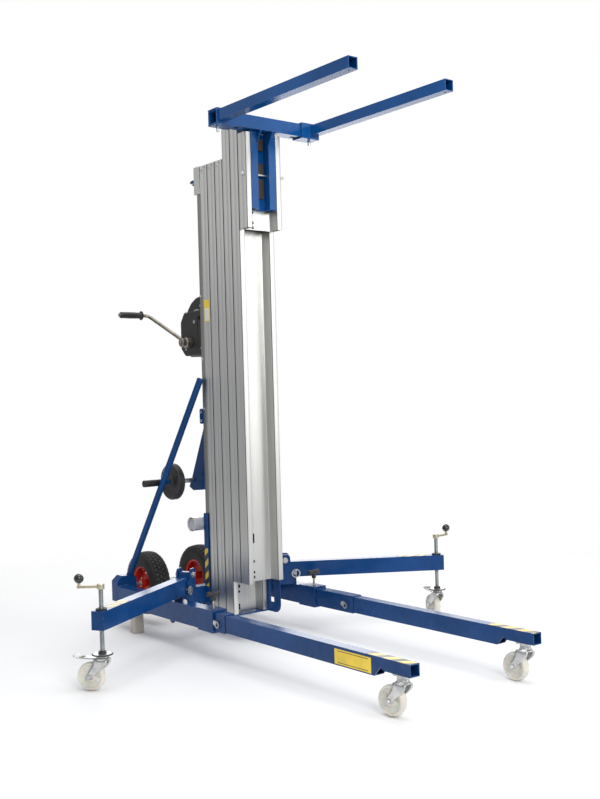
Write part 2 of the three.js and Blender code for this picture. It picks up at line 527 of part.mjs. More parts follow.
function makeRearFittings() {
  const outer = mast.railX + 5;
  const head = cut(box(-outer, outer, mast.rearY + gap, 434, 1860, 1976),
    box(-mast.railX - gap, mast.railX + gap, mast.rearY - 1, 396, 1859, 1977),
    box(-outer - 1, outer + 1, 402, 435, 1859, 1977));
  const nose = join(box(-22, 22, 401, 434, 1862, 1900));
  place('head_bracket', join(head, nose), finishes.aluminium);

  const route = new THREE.CurvePath();
  const z = 1925;
  const spots = [[-70, 403], [-70, 440], [-52, 474], [-20, 486], [20, 486], [52, 474], [70, 440], [70, 403]];
  const curve = new THREE.CatmullRomCurve3(spots.map(([x, y]) => new THREE.Vector3(x, y, z)), false, 'centripetal');
  route.add(curve);
  const round = new THREE.Shape(Array.from({ length: 8 }, (_, k) => new THREE.Vector2(
    7 * Math.cos((k * Math.PI) / 4), 7 * Math.sin((k * Math.PI) / 4))));
  const loop = new THREE.ExtrudeGeometry(round, { steps: 18, bevelEnabled: false, extrudePath: curve });
  place('grab_handle', solidOf(loop), finishes.blue);

  const { y: wy, z: wz, radius, wheelX, wheelWidth, left, right } = loading;
  const strut = sweepX([[365, 1110], [414, 1110], [547, 832], [629, 654], [656, 606], [624, 591], [561, 596],
    [530, 650], [365, 1000]], left, right);
  const foot = box(-52, 52, mast.rearY + gap, mast.rearY + 7, 990, 1120);
  const spindle = crosswise(9, -246, right, wy, wz, 14);
  const grip = crosswise(13.5, -246, -146, wy, wz, 16);
  place('loading_arm', join(strut, foot, spindle, grip), finishes.blue);
  const bore = 9 + gap;
  const w = wheelWidth / 2;
  const profile = [[bore, -w], [26, -w], [30, -w + 7], [54, -w + 7], [60, -w], [radius - 8, -w], [radius, -w + 8],
    [radius, w - 8], [radius - 8, w], [60, w], [54, w - 7], [30, w - 7], [26, w], [bore, w], [bore, -w]];
  place('loading_wheel', turnX(profile, wheelX, wy, wz, 24), finishes.rubber);

  const canister = turnX([[0, -135], [24, -135], [30, -130], [30, 52], [24, 58], [0, 58]], 0, 423, 469, 20);
  place('document_tube', canister, finishes.grey);
}

makeMast();
makeCarriage();
makeCrossbar();
makeBaseFrame();
[0, 1].forEach((i) => {
  makeFork(i);
  makeRail(i);
  makeLeg(i);
  makeCastor(`front_${sideNames[i]}`, rail.centre[i], frontCastorY, leg.tipBottomZ - gap,
    frontCastorAngle[i], false);
  makeStabiliser(i);
  makeTransportWheel(i);
});
makeWinch();
makeRearFittings();

lift.updateMatrixWorld(true);
const bounds = new THREE.Box3().setFromObject(lift, true);
const centre = bounds.getCenter(new THREE.Vector3());
lift.position.set(-centre.x, -centre.y, -bounds.min.z);

export default lift;
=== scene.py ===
import json
import math

import bmesh
import bpy
import numpy as np
from mathutils import Matrix, Vector, geometry


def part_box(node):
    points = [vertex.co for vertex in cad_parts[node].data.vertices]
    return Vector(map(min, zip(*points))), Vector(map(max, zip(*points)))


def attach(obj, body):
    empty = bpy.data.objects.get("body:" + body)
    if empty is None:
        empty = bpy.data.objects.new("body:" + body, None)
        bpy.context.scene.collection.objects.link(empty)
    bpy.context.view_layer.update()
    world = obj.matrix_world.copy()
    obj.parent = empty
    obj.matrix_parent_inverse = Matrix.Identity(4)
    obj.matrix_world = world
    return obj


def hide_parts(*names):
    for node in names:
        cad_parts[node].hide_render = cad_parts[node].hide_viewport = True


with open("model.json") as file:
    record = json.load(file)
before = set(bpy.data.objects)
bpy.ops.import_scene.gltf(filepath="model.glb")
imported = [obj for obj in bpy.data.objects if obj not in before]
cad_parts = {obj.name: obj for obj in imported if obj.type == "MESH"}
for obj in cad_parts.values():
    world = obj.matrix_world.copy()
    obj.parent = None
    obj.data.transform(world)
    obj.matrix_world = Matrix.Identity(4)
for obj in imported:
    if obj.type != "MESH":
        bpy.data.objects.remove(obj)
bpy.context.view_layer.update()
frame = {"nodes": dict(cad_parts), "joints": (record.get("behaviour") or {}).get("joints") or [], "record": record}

bodyOfNode = {n: b for b, nodes in frame["record"]["behaviour"]["bodies"].items() for n in nodes}
joints = {j["name"]: j for j in frame["joints"]}
sideNames = ("left", "right")
up = np.array((0.0, 0.0, 1.0))
print("frame loaded:", len(frame["nodes"]), "nodes")


def boxOf(node):
    low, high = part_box(node)
    return np.array(low), np.array(high)


def middleOf(node):
    low, high = boxOf(node)
    return (low + high) / 2


def pointsOf(node):
    return np.array([vertex.co for vertex in frame["nodes"][node].data.vertices])


def gridFaces(rows, columns, wrapRows=False, wrapColumns=False):
    # quads of a rows x columns grid of points, closed round either way if asked
    i = np.arange(rows if wrapRows else rows - 1)
    j = np.arange(columns if wrapColumns else columns - 1)
    i, j = np.meshgrid(i, j, indexing="ij")
    a, b = i * columns + j, i * columns + (j + 1) % columns
    c, d = ((i + 1) % rows) * columns + (j + 1) % columns, ((i + 1) % rows) * columns + j
    return np.stack([a, b, c, d], -1).reshape(-1, 4).tolist()


def joinShapes(shapes):
    # several shapes, each (vertices, faces), as one with its faces renumbered
    vertices, faces, count = [], [], 0
    for points, polygons in shapes:
        vertices.append(np.asarray(points, float))
        faces += [[k + count for k in polygon] for polygon in polygons]
        count += len(points)
    return np.concatenate(vertices), faces


def placeShape(shape, origin, xAxis, yAxis, zAxis=up):
    # local (x, y, z) becomes origin + x xAxis + y yAxis + z zAxis
    points = np.asarray(shape[0]) @ np.array([xAxis, yAxis, zAxis], float) + np.asarray(origin, float)
    return points, shape[1]


def arcPoints(centre, radius, start, stop, count):
    # centre + radius (cos a, sin a), a going from start to stop in degrees
    a = np.radians(np.linspace(start, stop, count))
    return np.stack([centre[0] + radius * np.cos(a), centre[1] + radius * np.sin(a)], -1)


def circlePoints(radius, count):
    a = np.linspace(0, 2 * np.pi, count, endpoint=False)
    return radius * np.stack([np.cos(a), np.sin(a)], -1)


def roundedRectangle(width, height, radius, count=4):
    # four quarter arcs, counter-clockwise, round a centre at zero
    x, y = width / 2 - radius, height / 2 - radius
    corners = ((x, y, 0), (-x, y, 90), (-x, -y, 180), (x, -y, 270))
    return np.concatenate([arcPoints(c[:2], radius, c[2], c[2] + 90, count) for c in corners])


def alongPath(profile, path, upHint=up, scale=None, caps=True):
    # at each point of the path the profile's first number goes sideways, tangent x hint,
    # and its second goes along sideways x tangent
    path = np.asarray(path, float)
    profile = np.asarray(profile, float)
    tangent = np.gradient(path, axis=0)
    tangent /= np.linalg.norm(tangent, axis=1)[:, None]
    sideways = np.cross(tangent, np.asarray(upHint, float))
    sideways /= np.linalg.norm(sideways, axis=1)[:, None]
    other = np.cross(sideways, tangent)
    size = np.ones(len(path)) if scale is None else np.asarray(scale, float)
    points = (path[:, None] + size[:, None, None] * (profile[None, :, :1] * sideways[:, None]
              + profile[None, :, 1:] * other[:, None]))
    rows, columns = len(path), len(profile)
    faces = [f[::-1] for f in gridFaces(rows, columns, wrapColumns=True)]
    if caps:
        faces += [list(range(columns)), list(range((rows - 1) * columns, rows * columns))[::-1]]
    return points.reshape(-1, 3), faces


def turned(profile, centre, axis, count=48):
    # (radius, height along the axis) pairs turned about the axis; ends on the axis close themselves
    axis = np.asarray(axis, float) / np.linalg.norm(axis)
    first = np.cross(axis, up if abs(axis[2]) < 0.9 else (1.0, 0.0, 0.0))
    first /= np.linalg.norm(first)
    second = np.cross(axis, first)
    profile = np.asarray(profile, float)
    a = np.linspace(0, 2 * np.pi, count, endpoint=False)
    spoke = np.cos(a)[:, None] * first + np.sin(a)[:, None] * second
    points = (np.asarray(centre) + profile[None, :, 1, None] * axis
              + profile[None, :, 0, None] * spoke[:, None])
    faces = gridFaces(count, len(profile), True)
    return points.reshape(-1, 3), [f[::-1] for f in faces]


def rodShape(start, end, radius, count=16, chamfer=0.0):
    # a round bar with a small chamfer at both ends
    start, end = np.asarray(start, float), np.asarray(end, float)
    length = np.linalg.norm(end - start)
    c = chamfer or radius * 0.12
    profile = [(0, 0), (radius - c, 0), (radius, c), (radius, length - c), (radius - c, length), (0, length)]
    return turned(profile, start, end - start, count)


def discShape(centre, axis, radius, thickness, count):
    return turned([(0, 0), (radius, 0), (radius, thickness), (0, thickness)], centre, axis, count)


def plateShape(outline, low, high, axes=((1, 0, 0), (0, 1, 0), (0, 0, 1)), origin=(0, 0, 0), holes=()):
    # an outline in two local directions, with holes, raised along the third from low to high
    loops = [np.asarray(loop, float) for loop in (outline, *holes)]
    flat = [[Vector((x, y, 0)) for x, y in loop] for loop in loops]
    triangles = geometry.tessellate_polygon(flat)
    points = np.concatenate(loops)
    n = len(points)
    u, v, w = (np.asarray(a, float) for a in axes)
    base = np.asarray(origin, float) + points[:, :1] * u + points[:, 1:] * v
    vertices = np.concatenate([base + low * w, base + high * w])
    faces, start = [], 0
    for loop in loops:
        m = len(loop)
        k = np.arange(m)
        side = np.stack([start + k, start + (k + 1) % m, n + start + (k + 1) % m, n + start + k], -1)
        faces += side.tolist()
        start += m
    faces += [[a + n for a in t] for t in triangles] + [list(t)[::-1] for t in triangles]
    return vertices, faces


def hexShape(centre, axis, acrossFlats, height, count=6):
    # a bolt head or nut: a hexagon with its outer corners turned down
    r = acrossFlats / math.sqrt(3)
    profile = [(0, 0), (r, 0), (r, height * 0.75), (r * 0.88, height), (0, height)]
    return turned(profile, centre, axis, count)


def makePiece(name, shapes, body, material, smooth=35, bevel=0.0, replaces=(), segments=2):
    # one mesh object in the frame's own place, its faces turned outwards
    vertices, faces = joinShapes(shapes if isinstance(shapes, list) else [shapes])
    mesh = bpy.data.meshes.new(name)
    mesh.from_pydata(vertices.tolist(), [], faces)
    piece = bpy.data.objects.new(name, mesh)
    bpy.context.scene.collection.objects.link(piece)
    return finishPiece(piece, body, material, smooth, bevel, replaces, segments)


def finishPiece(piece, body, material, smooth, bevel, replaces, segments):
    work = bmesh.new()
    work.from_mesh(piece.data)
    bmesh.ops.remove_doubles(work, verts=work.verts, dist=1e-6)
    if "fromFrame" in piece:
        bmesh.ops.dissolve_limit(work, angle_limit=math.radians(1), verts=work.verts, edges=work.edges)
    bmesh.ops.recalc_face_normals(work, faces=work.faces)
    work.to_mesh(piece.data)
    work.free()
    piece.data.shade_smooth()
    piece.data.set_sharp_from_angle(angle=math.radians(smooth))
    if bevel:
        edge = piece.modifiers.new("edges", "BEVEL")
        edge.width, edge.segments, edge.limit_method = bevel, segments, "ANGLE"
        edge.angle_limit = math.radians(smooth)
        edge.harden_normals = True
    piece.data.materials.clear()
    piece.data.materials.append(material)
    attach(piece, body)
    if replaces:
        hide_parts(*replaces)
    return piece


def softenNode(node, material, width=0.0016, smooth=32, segments=2):
    # the frame's own shape with its edges rounded, standing for that node
    source = frame["nodes"][node]
    piece = bpy.data.objects.new(node + "_body", source.data.copy())
    bpy.context.scene.collection.objects.link(piece)
    piece["fromFrame"] = True
    return finishPiece(piece, bodyOfNode[node], material, smooth, width, (node,), segments)


frontFace = ((1, 0, 0), (0, 0, 1), (0, -1, 0))  # outline directions, then the way out
leftFace = ((0, -1, 0), (0, 0, 1), (-1, 0, 0))


def feed(tree, socket, value):
    # links a socket's value, or sets a constant
    if isinstance(value, bpy.types.NodeSocket):
        tree.links.new(value, socket)
    else:
        socket.default_value = value


def newGroup(name, inputs, outputs):
    # a number makes a float socket, anything else a vector one
    group = bpy.data.node_groups.new(name, "ShaderNodeTree")
    for label, value in inputs.items():
        kind = "NodeSocketFloat" if isinstance(value, float) else "NodeSocketVector"
        socket = group.interface.new_socket(label, in_out="INPUT", socket_type=kind)
        if value is not None:
            socket.default_value = value
    for label in outputs:
        group.interface.new_socket(label, in_out="OUTPUT", socket_type="NodeSocketFloat")
    entry, leave = group.nodes.new("NodeGroupInput"), group.nodes.new("NodeGroupOutput")
    return group, entry.outputs, leave.inputs


def addNode(tree, kind, settings=None, **values):
    # a node with its settings, and its input sockets fed by name, or by number as i0, i1, i2
    node = tree.nodes.new(kind)
    for key, value in (settings or {}).items():
        setattr(node, key, value)
    for key, value in values.items():
        numbered = key[0] == "i" and key[1:].isdigit()
        feed(tree, node.inputs[int(key[1:]) if numbered else key.replace("_", " ")], value)
    return node


def mathNode(tree, operation, a, b=0.0, clamp=False):
    settings = {"operation": operation, "use_clamp": clamp}
    return addNode(tree, "ShaderNodeMath", settings, i0=a, i1=b).outputs[0]


def product(tree, *factors):
    # all factors multiplied, the last step clamped to 0..1
    total = factors[0]
    for factor in factors[1:]:
        total = mathNode(tree, "MULTIPLY", total, factor, factor is factors[-1])
    return total


def noiseNode(tree, vector, scale, detail, roughness=0.5):
    return addNode(tree, "ShaderNodeTexNoise", None, Vector=vector, Scale=scale, Detail=detail,
                   Roughness=roughness).outputs["Fac"]


def mixColour(tree, mask, a, b):
    node = tree.nodes.new("ShaderNodeMix")
    node.data_type = "RGBA"
    for number, value in ((0, mask), (6, a), (7, b)):  # the colour sockets among the node's inputs
        feed(tree, node.inputs[number], value)
    return node.outputs[2]


def ramp(tree, value, low, high, clampTo=(0.0, 1.0)):
    node = addNode(tree, "ShaderNodeMapRange", None, Value=value)
    node.inputs["From Min"].default_value, node.inputs["From Max"].default_value = low, high
    node.inputs["To Min"].default_value, node.inputs["To Max"].default_value = clampTo
    return node.outputs[0]


def makeEdgeGroup():
    # how far the rounded normal leans from the flat one, broken up by noise: 1 on a worn edge
    inputs = {"Vector": None, "Radius": 0.002, "Amount": 0.5, "Breakup": 60.0}
    group, entry, leave = newGroup("edgeWear", inputs, ["Mask"])
    bevel = addNode(group, "ShaderNodeBevel", {"samples": 4}, Radius=entry["Radius"])
    flat = group.nodes.new("ShaderNodeNewGeometry").outputs["Normal"]
    dot = addNode(group, "ShaderNodeVectorMath", {"operation": "DOT_PRODUCT"}, i0=bevel.outputs[0], i1=flat)
    lean = ramp(group, mathNode(group, "SUBTRACT", 1.0, dot.outputs["Value"]), 0.02, 0.22)
    patch = ramp(group, noiseNode(group, entry["Vector"], entry["Breakup"], 5.0, 0.65), 0.5, 0.62)
    group.links.new(product(group, lean, patch, entry["Amount"]), leave["Mask"])
    return group


def makeSkinGroup():
    # slow clouding, fine speckle and short scratches, for roughness, tint and bump height
    inputs = {"Vector": None, "Cloud Scale": 6.0, "Fine Scale": 900.0, "Scratches": 0.3}
    group, entry, leave = newGroup("surfaceSkin", inputs, ["Cloud", "Fine", "Scratch", "Height"])
    cloud = noiseNode(group, entry["Vector"], entry["Cloud Scale"], 4.0)
    fine = noiseNode(group, entry["Vector"], entry["Fine Scale"], 2.0)
    turnedBy = addNode(group, "ShaderNodeMapping", None, Vector=entry["Vector"])
    turnedBy.inputs["Rotation"].default_value = (0.5, 0.9, 0.4)
    turnedBy.inputs["Scale"].default_value = (4.0, 90.0, 90.0)
    lines = noiseNode(group, turnedBy.outputs[0], 3.0, 3.0)
    offMiddle = mathNode(group, "ABSOLUTE", mathNode(group, "SUBTRACT", lines, 0.5))
    thin = ramp(group, offMiddle, 0.012, 0.0)
    scratch = product(group, thin, ramp(group, cloud, 0.48, 0.6), entry["Scratches"])
    height = mathNode(group, "SUBTRACT", mathNode(group, "MULTIPLY", fine, 0.6),
                      mathNode(group, "MULTIPLY", scratch, 0.5))
    for label, value in (("Cloud", cloud), ("Fine", fine), ("Scratch", scratch), ("Height", height)):
        group.links.new(value, leave[label])
    return group


def makeDrawnGroup():
    # lines drawn along one axis: noise on coordinates squeezed along that axis
    inputs = {"Vector": None, "Squeeze": (1.0, 1.0, 0.02), "Scale": 500.0}
    group, entry, leave = newGroup("drawnLines", inputs, ["Lines", "Broad"])
    squeezed = addNode(group, "ShaderNodeVectorMath", {"operation": "MULTIPLY"}, i0=entry["Vector"],
                       i1=entry["Squeeze"]).outputs[0]
    group.links.new(noiseNode(group, squeezed, entry["Scale"], 3.0), leave["Lines"])
    broadScale = mathNode(group, "MULTIPLY", entry["Scale"], 0.12)
    group.links.new(noiseNode(group, squeezed, broadScale, 2.0), leave["Broad"])
    return group


def makeDustGroup():
    # pale dust: more on faces that look up and on what stands near the floor
    group, entry, leave = newGroup("settledDust", {"Vector": None, "Amount": 0.3}, ["Mask"])
    flat = group.nodes.new("ShaderNodeNewGeometry").outputs["Normal"]
    facing = ramp(group, addNode(group, "ShaderNodeSeparateXYZ", None, Vector=flat).outputs["Z"], 0.2, 1.0)
    place = addNode(group, "ShaderNodeSeparateXYZ", None, Vector=entry["Vector"])
    low = ramp(group, place.outputs["Z"], 0.35, 0.0)
    where = mathNode(group, "MAXIMUM", mathNode(group, "MULTIPLY", facing, 0.7), low)
    patch = ramp(group, noiseNode(group, entry["Vector"], 25.0, 6.0, 0.7), 0.4, 0.75)
    group.links.new(product(group, where, patch, entry["Amount"]), leave["Mask"])
    return group


groups = {"edge": makeEdgeGroup(), "skin": makeSkinGroup(), "drawn": makeDrawnGroup(),
          "dust": makeDustGroup()}
tints = {"bareSteel": (0.42, 0.42, 0.42, 1), "paintScratch": (0.10, 0.20, 0.36, 1),
         "paintDust": (0.42, 0.40, 0.37, 1), "brightScratch": (0.85, 0.85, 0.84, 1),
         "brightEdge": (0.9, 0.9, 0.9, 1), "seamShade": (0.03, 0.03, 0.03, 1), "grime": (0.35, 0.34, 0.32, 1),
         "rubberDust": (0.46, 0.44, 0.41, 1), "tapeScuff": (0.5, 0.5, 0.48, 1),
         "tapeDirt": (0.40, 0.36, 0.28, 1)}


def useGroup(tree, key, **values):
    node = tree.nodes.new("ShaderNodeGroup")
    node.node_tree = groups[key]
    for label, value in values.items():
        feed(tree, node.inputs[label.replace("_", " ")], value)
    return node.outputs


def newMaterial(name, **constants):
    # a material with its shader and object coordinates ready
    material = bpy.data.materials.new(name)
    material.use_nodes = True
    tree = material.node_tree
    shader = tree.nodes["Principled BSDF"]
    for label, value in constants.items():
        shader.inputs[label.replace("_", " ")].default_value = value
    place = tree.nodes.new("ShaderNodeTexCoord").outputs["Object"]
    return material, tree, shader, place


def addBump(tree, shader, height, strength, distance=0.0005):
    bump = addNode(tree, "ShaderNodeBump", None, Height=height)
    bump.inputs["Strength"].default_value, bump.inputs["Distance"].default_value = strength, distance
    tree.links.new(bump.outputs[0], shader.inputs["Normal"])


def roughnessFrom(tree, shader, base, *terms):
    # base roughness plus each (value, weight)
    total = base
    for value, weight in terms:
        total = mathNode(tree, "ADD", total, mathNode(tree, "MULTIPLY", value, weight))
    tree.links.new(mathNode(tree, "MAXIMUM", total, 0.04), shader.inputs["Roughness"])


def paintMaterial(name, colour, roughness=0.24, coat=0.06, wear=0.6, dust=0.05):
    # powder coat: orange-peel bump, clouded gloss, paint thinned to bare steel on worn edges
    material, tree, shader, place = newMaterial(name, Coat_Weight=coat, Coat_Roughness=0.10,
                                                Specular_IOR_Level=0.22)
    skin = useGroup(tree, "skin", Vector=place, Cloud_Scale=5.0, Fine_Scale=420.0, Scratches=0.35)
    edge = useGroup(tree, "edge", Vector=place, Radius=0.0022, Amount=wear, Breakup=55.0)["Mask"]
    dusty = useGroup(tree, "dust", Vector=place, Amount=dust)["Mask"]
    light = tuple(min(1.0, c * 1.35 + 0.004) for c in colour)
    tone = mixColour(tree, ramp(tree, skin["Cloud"], 0.35, 0.7), (*colour, 1), (*light, 1))
    tone = mixColour(tree, mathNode(tree, "MULTIPLY", skin["Scratch"], 0.25), tone, tints["paintScratch"])
    tone = mixColour(tree, dusty, tone, tints["paintDust"])
    tone = mixColour(tree, edge, tone, tints["bareSteel"])
    tree.links.new(tone, shader.inputs["Base Color"])
    tree.links.new(mathNode(tree, "MULTIPLY", edge, 0.8), shader.inputs["Metallic"])
    roughnessFrom(tree, shader, roughness - 0.04, (skin["Cloud"], 0.10), (dusty, 0.4), (skin["Scratch"], 0.2))
    addBump(tree, shader, skin["Height"], 0.22, 0.0006)
    return material


def paintedSeamShade(tree, place, firstY, pitch, halfWidth):
    # painted shade: 1 on side faces near the seams between neighbouring sections, dark where shade falls in the
    # gap: fract((y - first) / pitch) near 0 or 1
    y = addNode(tree, "ShaderNodeSeparateXYZ", None, Vector=place).outputs["Y"]
    flat = tree.nodes.new("ShaderNodeNewGeometry").outputs["Normal"]
    sideways = addNode(tree, "ShaderNodeSeparateXYZ", None, Vector=flat).outputs["X"]
    steps = mathNode(tree, "DIVIDE", mathNode(tree, "SUBTRACT", y, firstY), pitch)
    away = mathNode(tree, "ABSOLUTE", mathNode(tree, "SUBTRACT", mathNode(tree, "FRACT", steps), 0.5))
    near = ramp(tree, away, 0.5 - 1.5 * halfWidth / pitch, 0.5 - 0.75 * halfWidth / pitch)
    return product(tree, near, ramp(tree, mathNode(tree, "ABSOLUTE", sideways), 0.25, 0.5))


def aluminiumMaterial(name, colour, squeeze, roughness=0.34, seamShadeAt=None):
    # mill-finish extrusion: die lines along the profile, broad toning, a few handling scratches, and painted shade
    # at the seams when asked
    material, tree, shader, place = newMaterial(name, Metallic=1.0)
    lines = useGroup(tree, "drawn", Vector=place, Squeeze=squeeze, Scale=900.0)
    skin = useGroup(tree, "skin", Vector=place, Cloud_Scale=3.0, Fine_Scale=1500.0, Scratches=0.6)
    edge = useGroup(tree, "edge", Vector=place, Radius=0.0015, Amount=0.8, Breakup=40.0)["Mask"]
    dark = tuple(c * 0.80 for c in colour)
    tone = mixColour(tree, ramp(tree, lines["Lines"], 0.3, 0.7), (*dark, 1), (*colour, 1))
    tone = mixColour(tree, ramp(tree, lines["Broad"], 0.35, 0.75, (0.0, 0.35)), tone, (*dark, 1))
    tone = mixColour(tree, mathNode(tree, "MULTIPLY", skin["Scratch"], 0.5), tone, tints["brightScratch"])
    tone = mixColour(tree, edge, tone, tints["brightEdge"])
    # painted shade: dark lines on the side faces where the sections meet
    if seamShadeAt:
        tone = mixColour(tree, paintedSeamShade(tree, place, *seamShadeAt), tone, tints["seamShade"])
    tree.links.new(tone, shader.inputs["Base Color"])
    roughnessFrom(tree, shader, roughness - 0.08, (lines["Lines"], 0.10), (skin["Cloud"], 0.12), (edge, -0.1))
    height = mathNode(tree, "ADD", lines["Lines"], mathNode(tree, "MULTIPLY", skin["Height"], 0.3))
    addBump(tree, shader, height, 0.16, 0.0004)
    return material


def platedMaterial(name, colour, tint, roughness=0.3, lines=(1.0, 1.0, 0.05)):
    # zinc plate or bright steel: crystalline clouding, tool lines, grime in the scratches
    material, tree, shader, place = newMaterial(name, Metallic=1.0)
    drawn = useGroup(tree, "drawn", Vector=place, Squeeze=lines, Scale=1200.0)
    skin = useGroup(tree, "skin", Vector=place, Cloud_Scale=35.0, Fine_Scale=1400.0, Scratches=0.8)
    tone = mixColour(tree, ramp(tree, skin["Cloud"], 0.35, 0.68), (*colour, 1), (*tint, 1))
    tone = mixColour(tree, skin["Scratch"], tone, tints["grime"])
    tree.links.new(tone, shader.inputs["Base Color"])
    roughnessFrom(tree, shader, roughness - 0.08, (skin["Cloud"], 0.2), (drawn["Lines"], 0.06))
    addBump(tree, shader, mathNode(tree, "ADD", drawn["Lines"], skin["Height"]), 0.15, 0.0003)
    return material


def mouldedMaterial(name, colour, roughness=0.5, grain=600.0, strength=0.3, dust=0.12, subsurface=0.0,
                    coat=0.0, shine=0.5):
    # moulded plastic or rubber: a fine pebbled skin, scuffs and dust
    material, tree, shader, place = newMaterial(name, Subsurface_Weight=subsurface, Subsurface_Scale=0.006,
                                                Coat_Weight=coat, Coat_Roughness=0.2, Specular_IOR_Level=shine)
    skin = useGroup(tree, "skin", Vector=place, Cloud_Scale=12.0, Fine_Scale=grain, Scratches=0.6)
    pebble = addNode(tree, "ShaderNodeTexVoronoi", None, Vector=place, Scale=grain)
    dusty = useGroup(tree, "dust", Vector=place, Amount=dust)["Mask"]
    light = tuple(min(1.0, c * 1.3 + 0.002) for c in colour)
    tone = mixColour(tree, ramp(tree, skin["Cloud"], 0.35, 0.7), (*colour, 1), (*light, 1))
    scuffed = tuple(min(1.0, c + 0.18) for c in colour)
    tone = mixColour(tree, mathNode(tree, "MULTIPLY", skin["Scratch"], 0.4), tone, (*scuffed, 1))
    tone = mixColour(tree, dusty, tone, tints["rubberDust"])
    tree.links.new(tone, shader.inputs["Base Color"])
    roughnessFrom(tree, shader, roughness - 0.06, (skin["Cloud"], 0.12), (dusty, 0.2))
    addBump(tree, shader, mathNode(tree, "ADD", pebble.outputs["Distance"], skin["Height"]), strength, 0.0003)
    return material


def stripeMaterial(name, direction, pitch, first=(0.75, 0.53, 0.02), second=(0.012, 0.012, 0.014)):
    # printed tape: a square wave along one direction, scuffed thin in places
    material, tree, shader, place = newMaterial(name, Coat_Weight=0.3, Coat_Roughness=0.15)
    along = addNode(tree, "ShaderNodeVectorMath", {"operation": "DOT_PRODUCT"}, i0=place)
    along.inputs[1].default_value = direction
    wave = mathNode(tree, "FRACT", mathNode(tree, "MULTIPLY", along.outputs["Value"], 1.0 / pitch))
    band = mathNode(tree, "LESS_THAN", wave, 0.5)
    skin = useGroup(tree, "skin", Vector=place, Cloud_Scale=14.0, Fine_Scale=700.0, Scratches=0.8)
    tone = mixColour(tree, band, (*first, 1), (*second, 1))
    tone = mixColour(tree, mathNode(tree, "MULTIPLY", skin["Scratch"], 0.6), tone, tints["tapeScuff"])
    tone = mixColour(tree, ramp(tree, skin["Cloud"], 0.62, 0.8, (0.0, 0.35)), tone, tints["tapeDirt"])
    tree.links.new(tone, shader.inputs["Base Color"])
    roughnessFrom(tree, shader, 0.3, (skin["Cloud"], 0.2))
    addBump(tree, shader, skin["Height"], 0.15, 0.0002)
    return material


# rear of the first section, pitch between sections, and half width of the painted seam shade
sectionRear, sectionPitch, seamShadeHalf = 0.42225, 0.0562, 0.0024
alongZ = (1.0, 1.0, 0.004)
blue = paintMaterial("bluePaint", (0.0002, 0.038, 0.150))
# painted light: a lighter copy of the same blue paint, for the crossbar, carriage bracket and forks that face the
# light
litBluePaint = paintMaterial("bluePaintLit", (0.0002, 0.056, 0.205), roughness=0.22)
red = paintMaterial("redPaint", (0.45, 0.016, 0.010), roughness=0.3, wear=0.4)
aluminium = aluminiumMaterial("millAluminium", (0.74, 0.74, 0.715), alongZ,
                              seamShadeAt=(sectionRear, sectionPitch, seamShadeHalf))
# the same mill aluminium at about half the brightness, for the fins behind the mast
railAluminium = aluminiumMaterial("darkerMillAluminium", (0.36, 0.36, 0.33), alongZ, roughness=0.42)
zinc = platedMaterial("zincPlate", (0.66, 0.66, 0.64), (0.50, 0.51, 0.52))
yellowZinc = platedMaterial("passivatedZinc", (0.62, 0.56, 0.40), (0.50, 0.47, 0.36), roughness=0.36)
brightSteel = platedMaterial("brightSteel", (0.62, 0.63, 0.64), (0.50, 0.51, 0.53), roughness=0.22)
rodZinc = platedMaterial("rodZinc", (0.34, 0.31, 0.26), (0.24, 0.22, 0.19), roughness=0.34)
screwSteel = platedMaterial("screwSteel", (0.32, 0.35, 0.36), (0.22, 0.24, 0.25), roughness=0.34)
blackPlastic = mouldedMaterial("blackMoulding", (0.012, 0.012, 0.013), roughness=0.42, grain=700.0)
castBlack = mouldedMaterial("blackCastShell", (0.018, 0.018, 0.019), grain=420.0, strength=0.5)
rubber = mouldedMaterial("tyreRubber", (0.014, 0.014, 0.014), roughness=0.72, grain=500.0, dust=0.15)
brownRubber = mouldedMaterial("brownRubberPad", (0.030, 0.020, 0.014), roughness=0.7, grain=500.0)
nylon = mouldedMaterial("whiteNylon", (0.62, 0.60, 0.54), roughness=0.34, grain=380.0, strength=0.15,
                        subsurface=0.35, coat=0.2)
tubePlastic = mouldedMaterial("clearGreyTube", (0.46, 0.47, 0.50), roughness=0.3, grain=300.0, strength=0.1,
                              subsurface=0.3, coat=0.5)
footGrey = mouldedMaterial("footBlock", (0.40, 0.37, 0.32), roughness=0.6, grain=300.0, dust=0.5)
ballBlack = mouldedMaterial("polishedBall", (0.008, 0.008, 0.009), roughness=0.16, grain=900.0, strength=0.03,
                            dust=0.05, coat=0.6)
# near black: the sliding shoes and winch plugs, and painted shade where dark discs and slots stand for holes
darkBlockAndHoleShade = mouldedMaterial("darkSlideBlockAndHoleShade", (0.006, 0.006, 0.006), roughness=0.7, dust=0.0, shine=0.12)
print("materials ready")


mastValues = {"flange": 0.025, "wall": 0.0035, "corner": 0.0028, "groove": 0.0012, "grooveDepth": 0.0004,
              "chamberCorner": 0.002, "behind": 0.028, "play": 0.0012, "gap": 0.0004, "shoeFoot": 0.004,
              "shoe": 0.120, "carriageShoe": 0.060, "shoeCorner": 0.003, "fin": 0.004, "finInset": 0.0045}


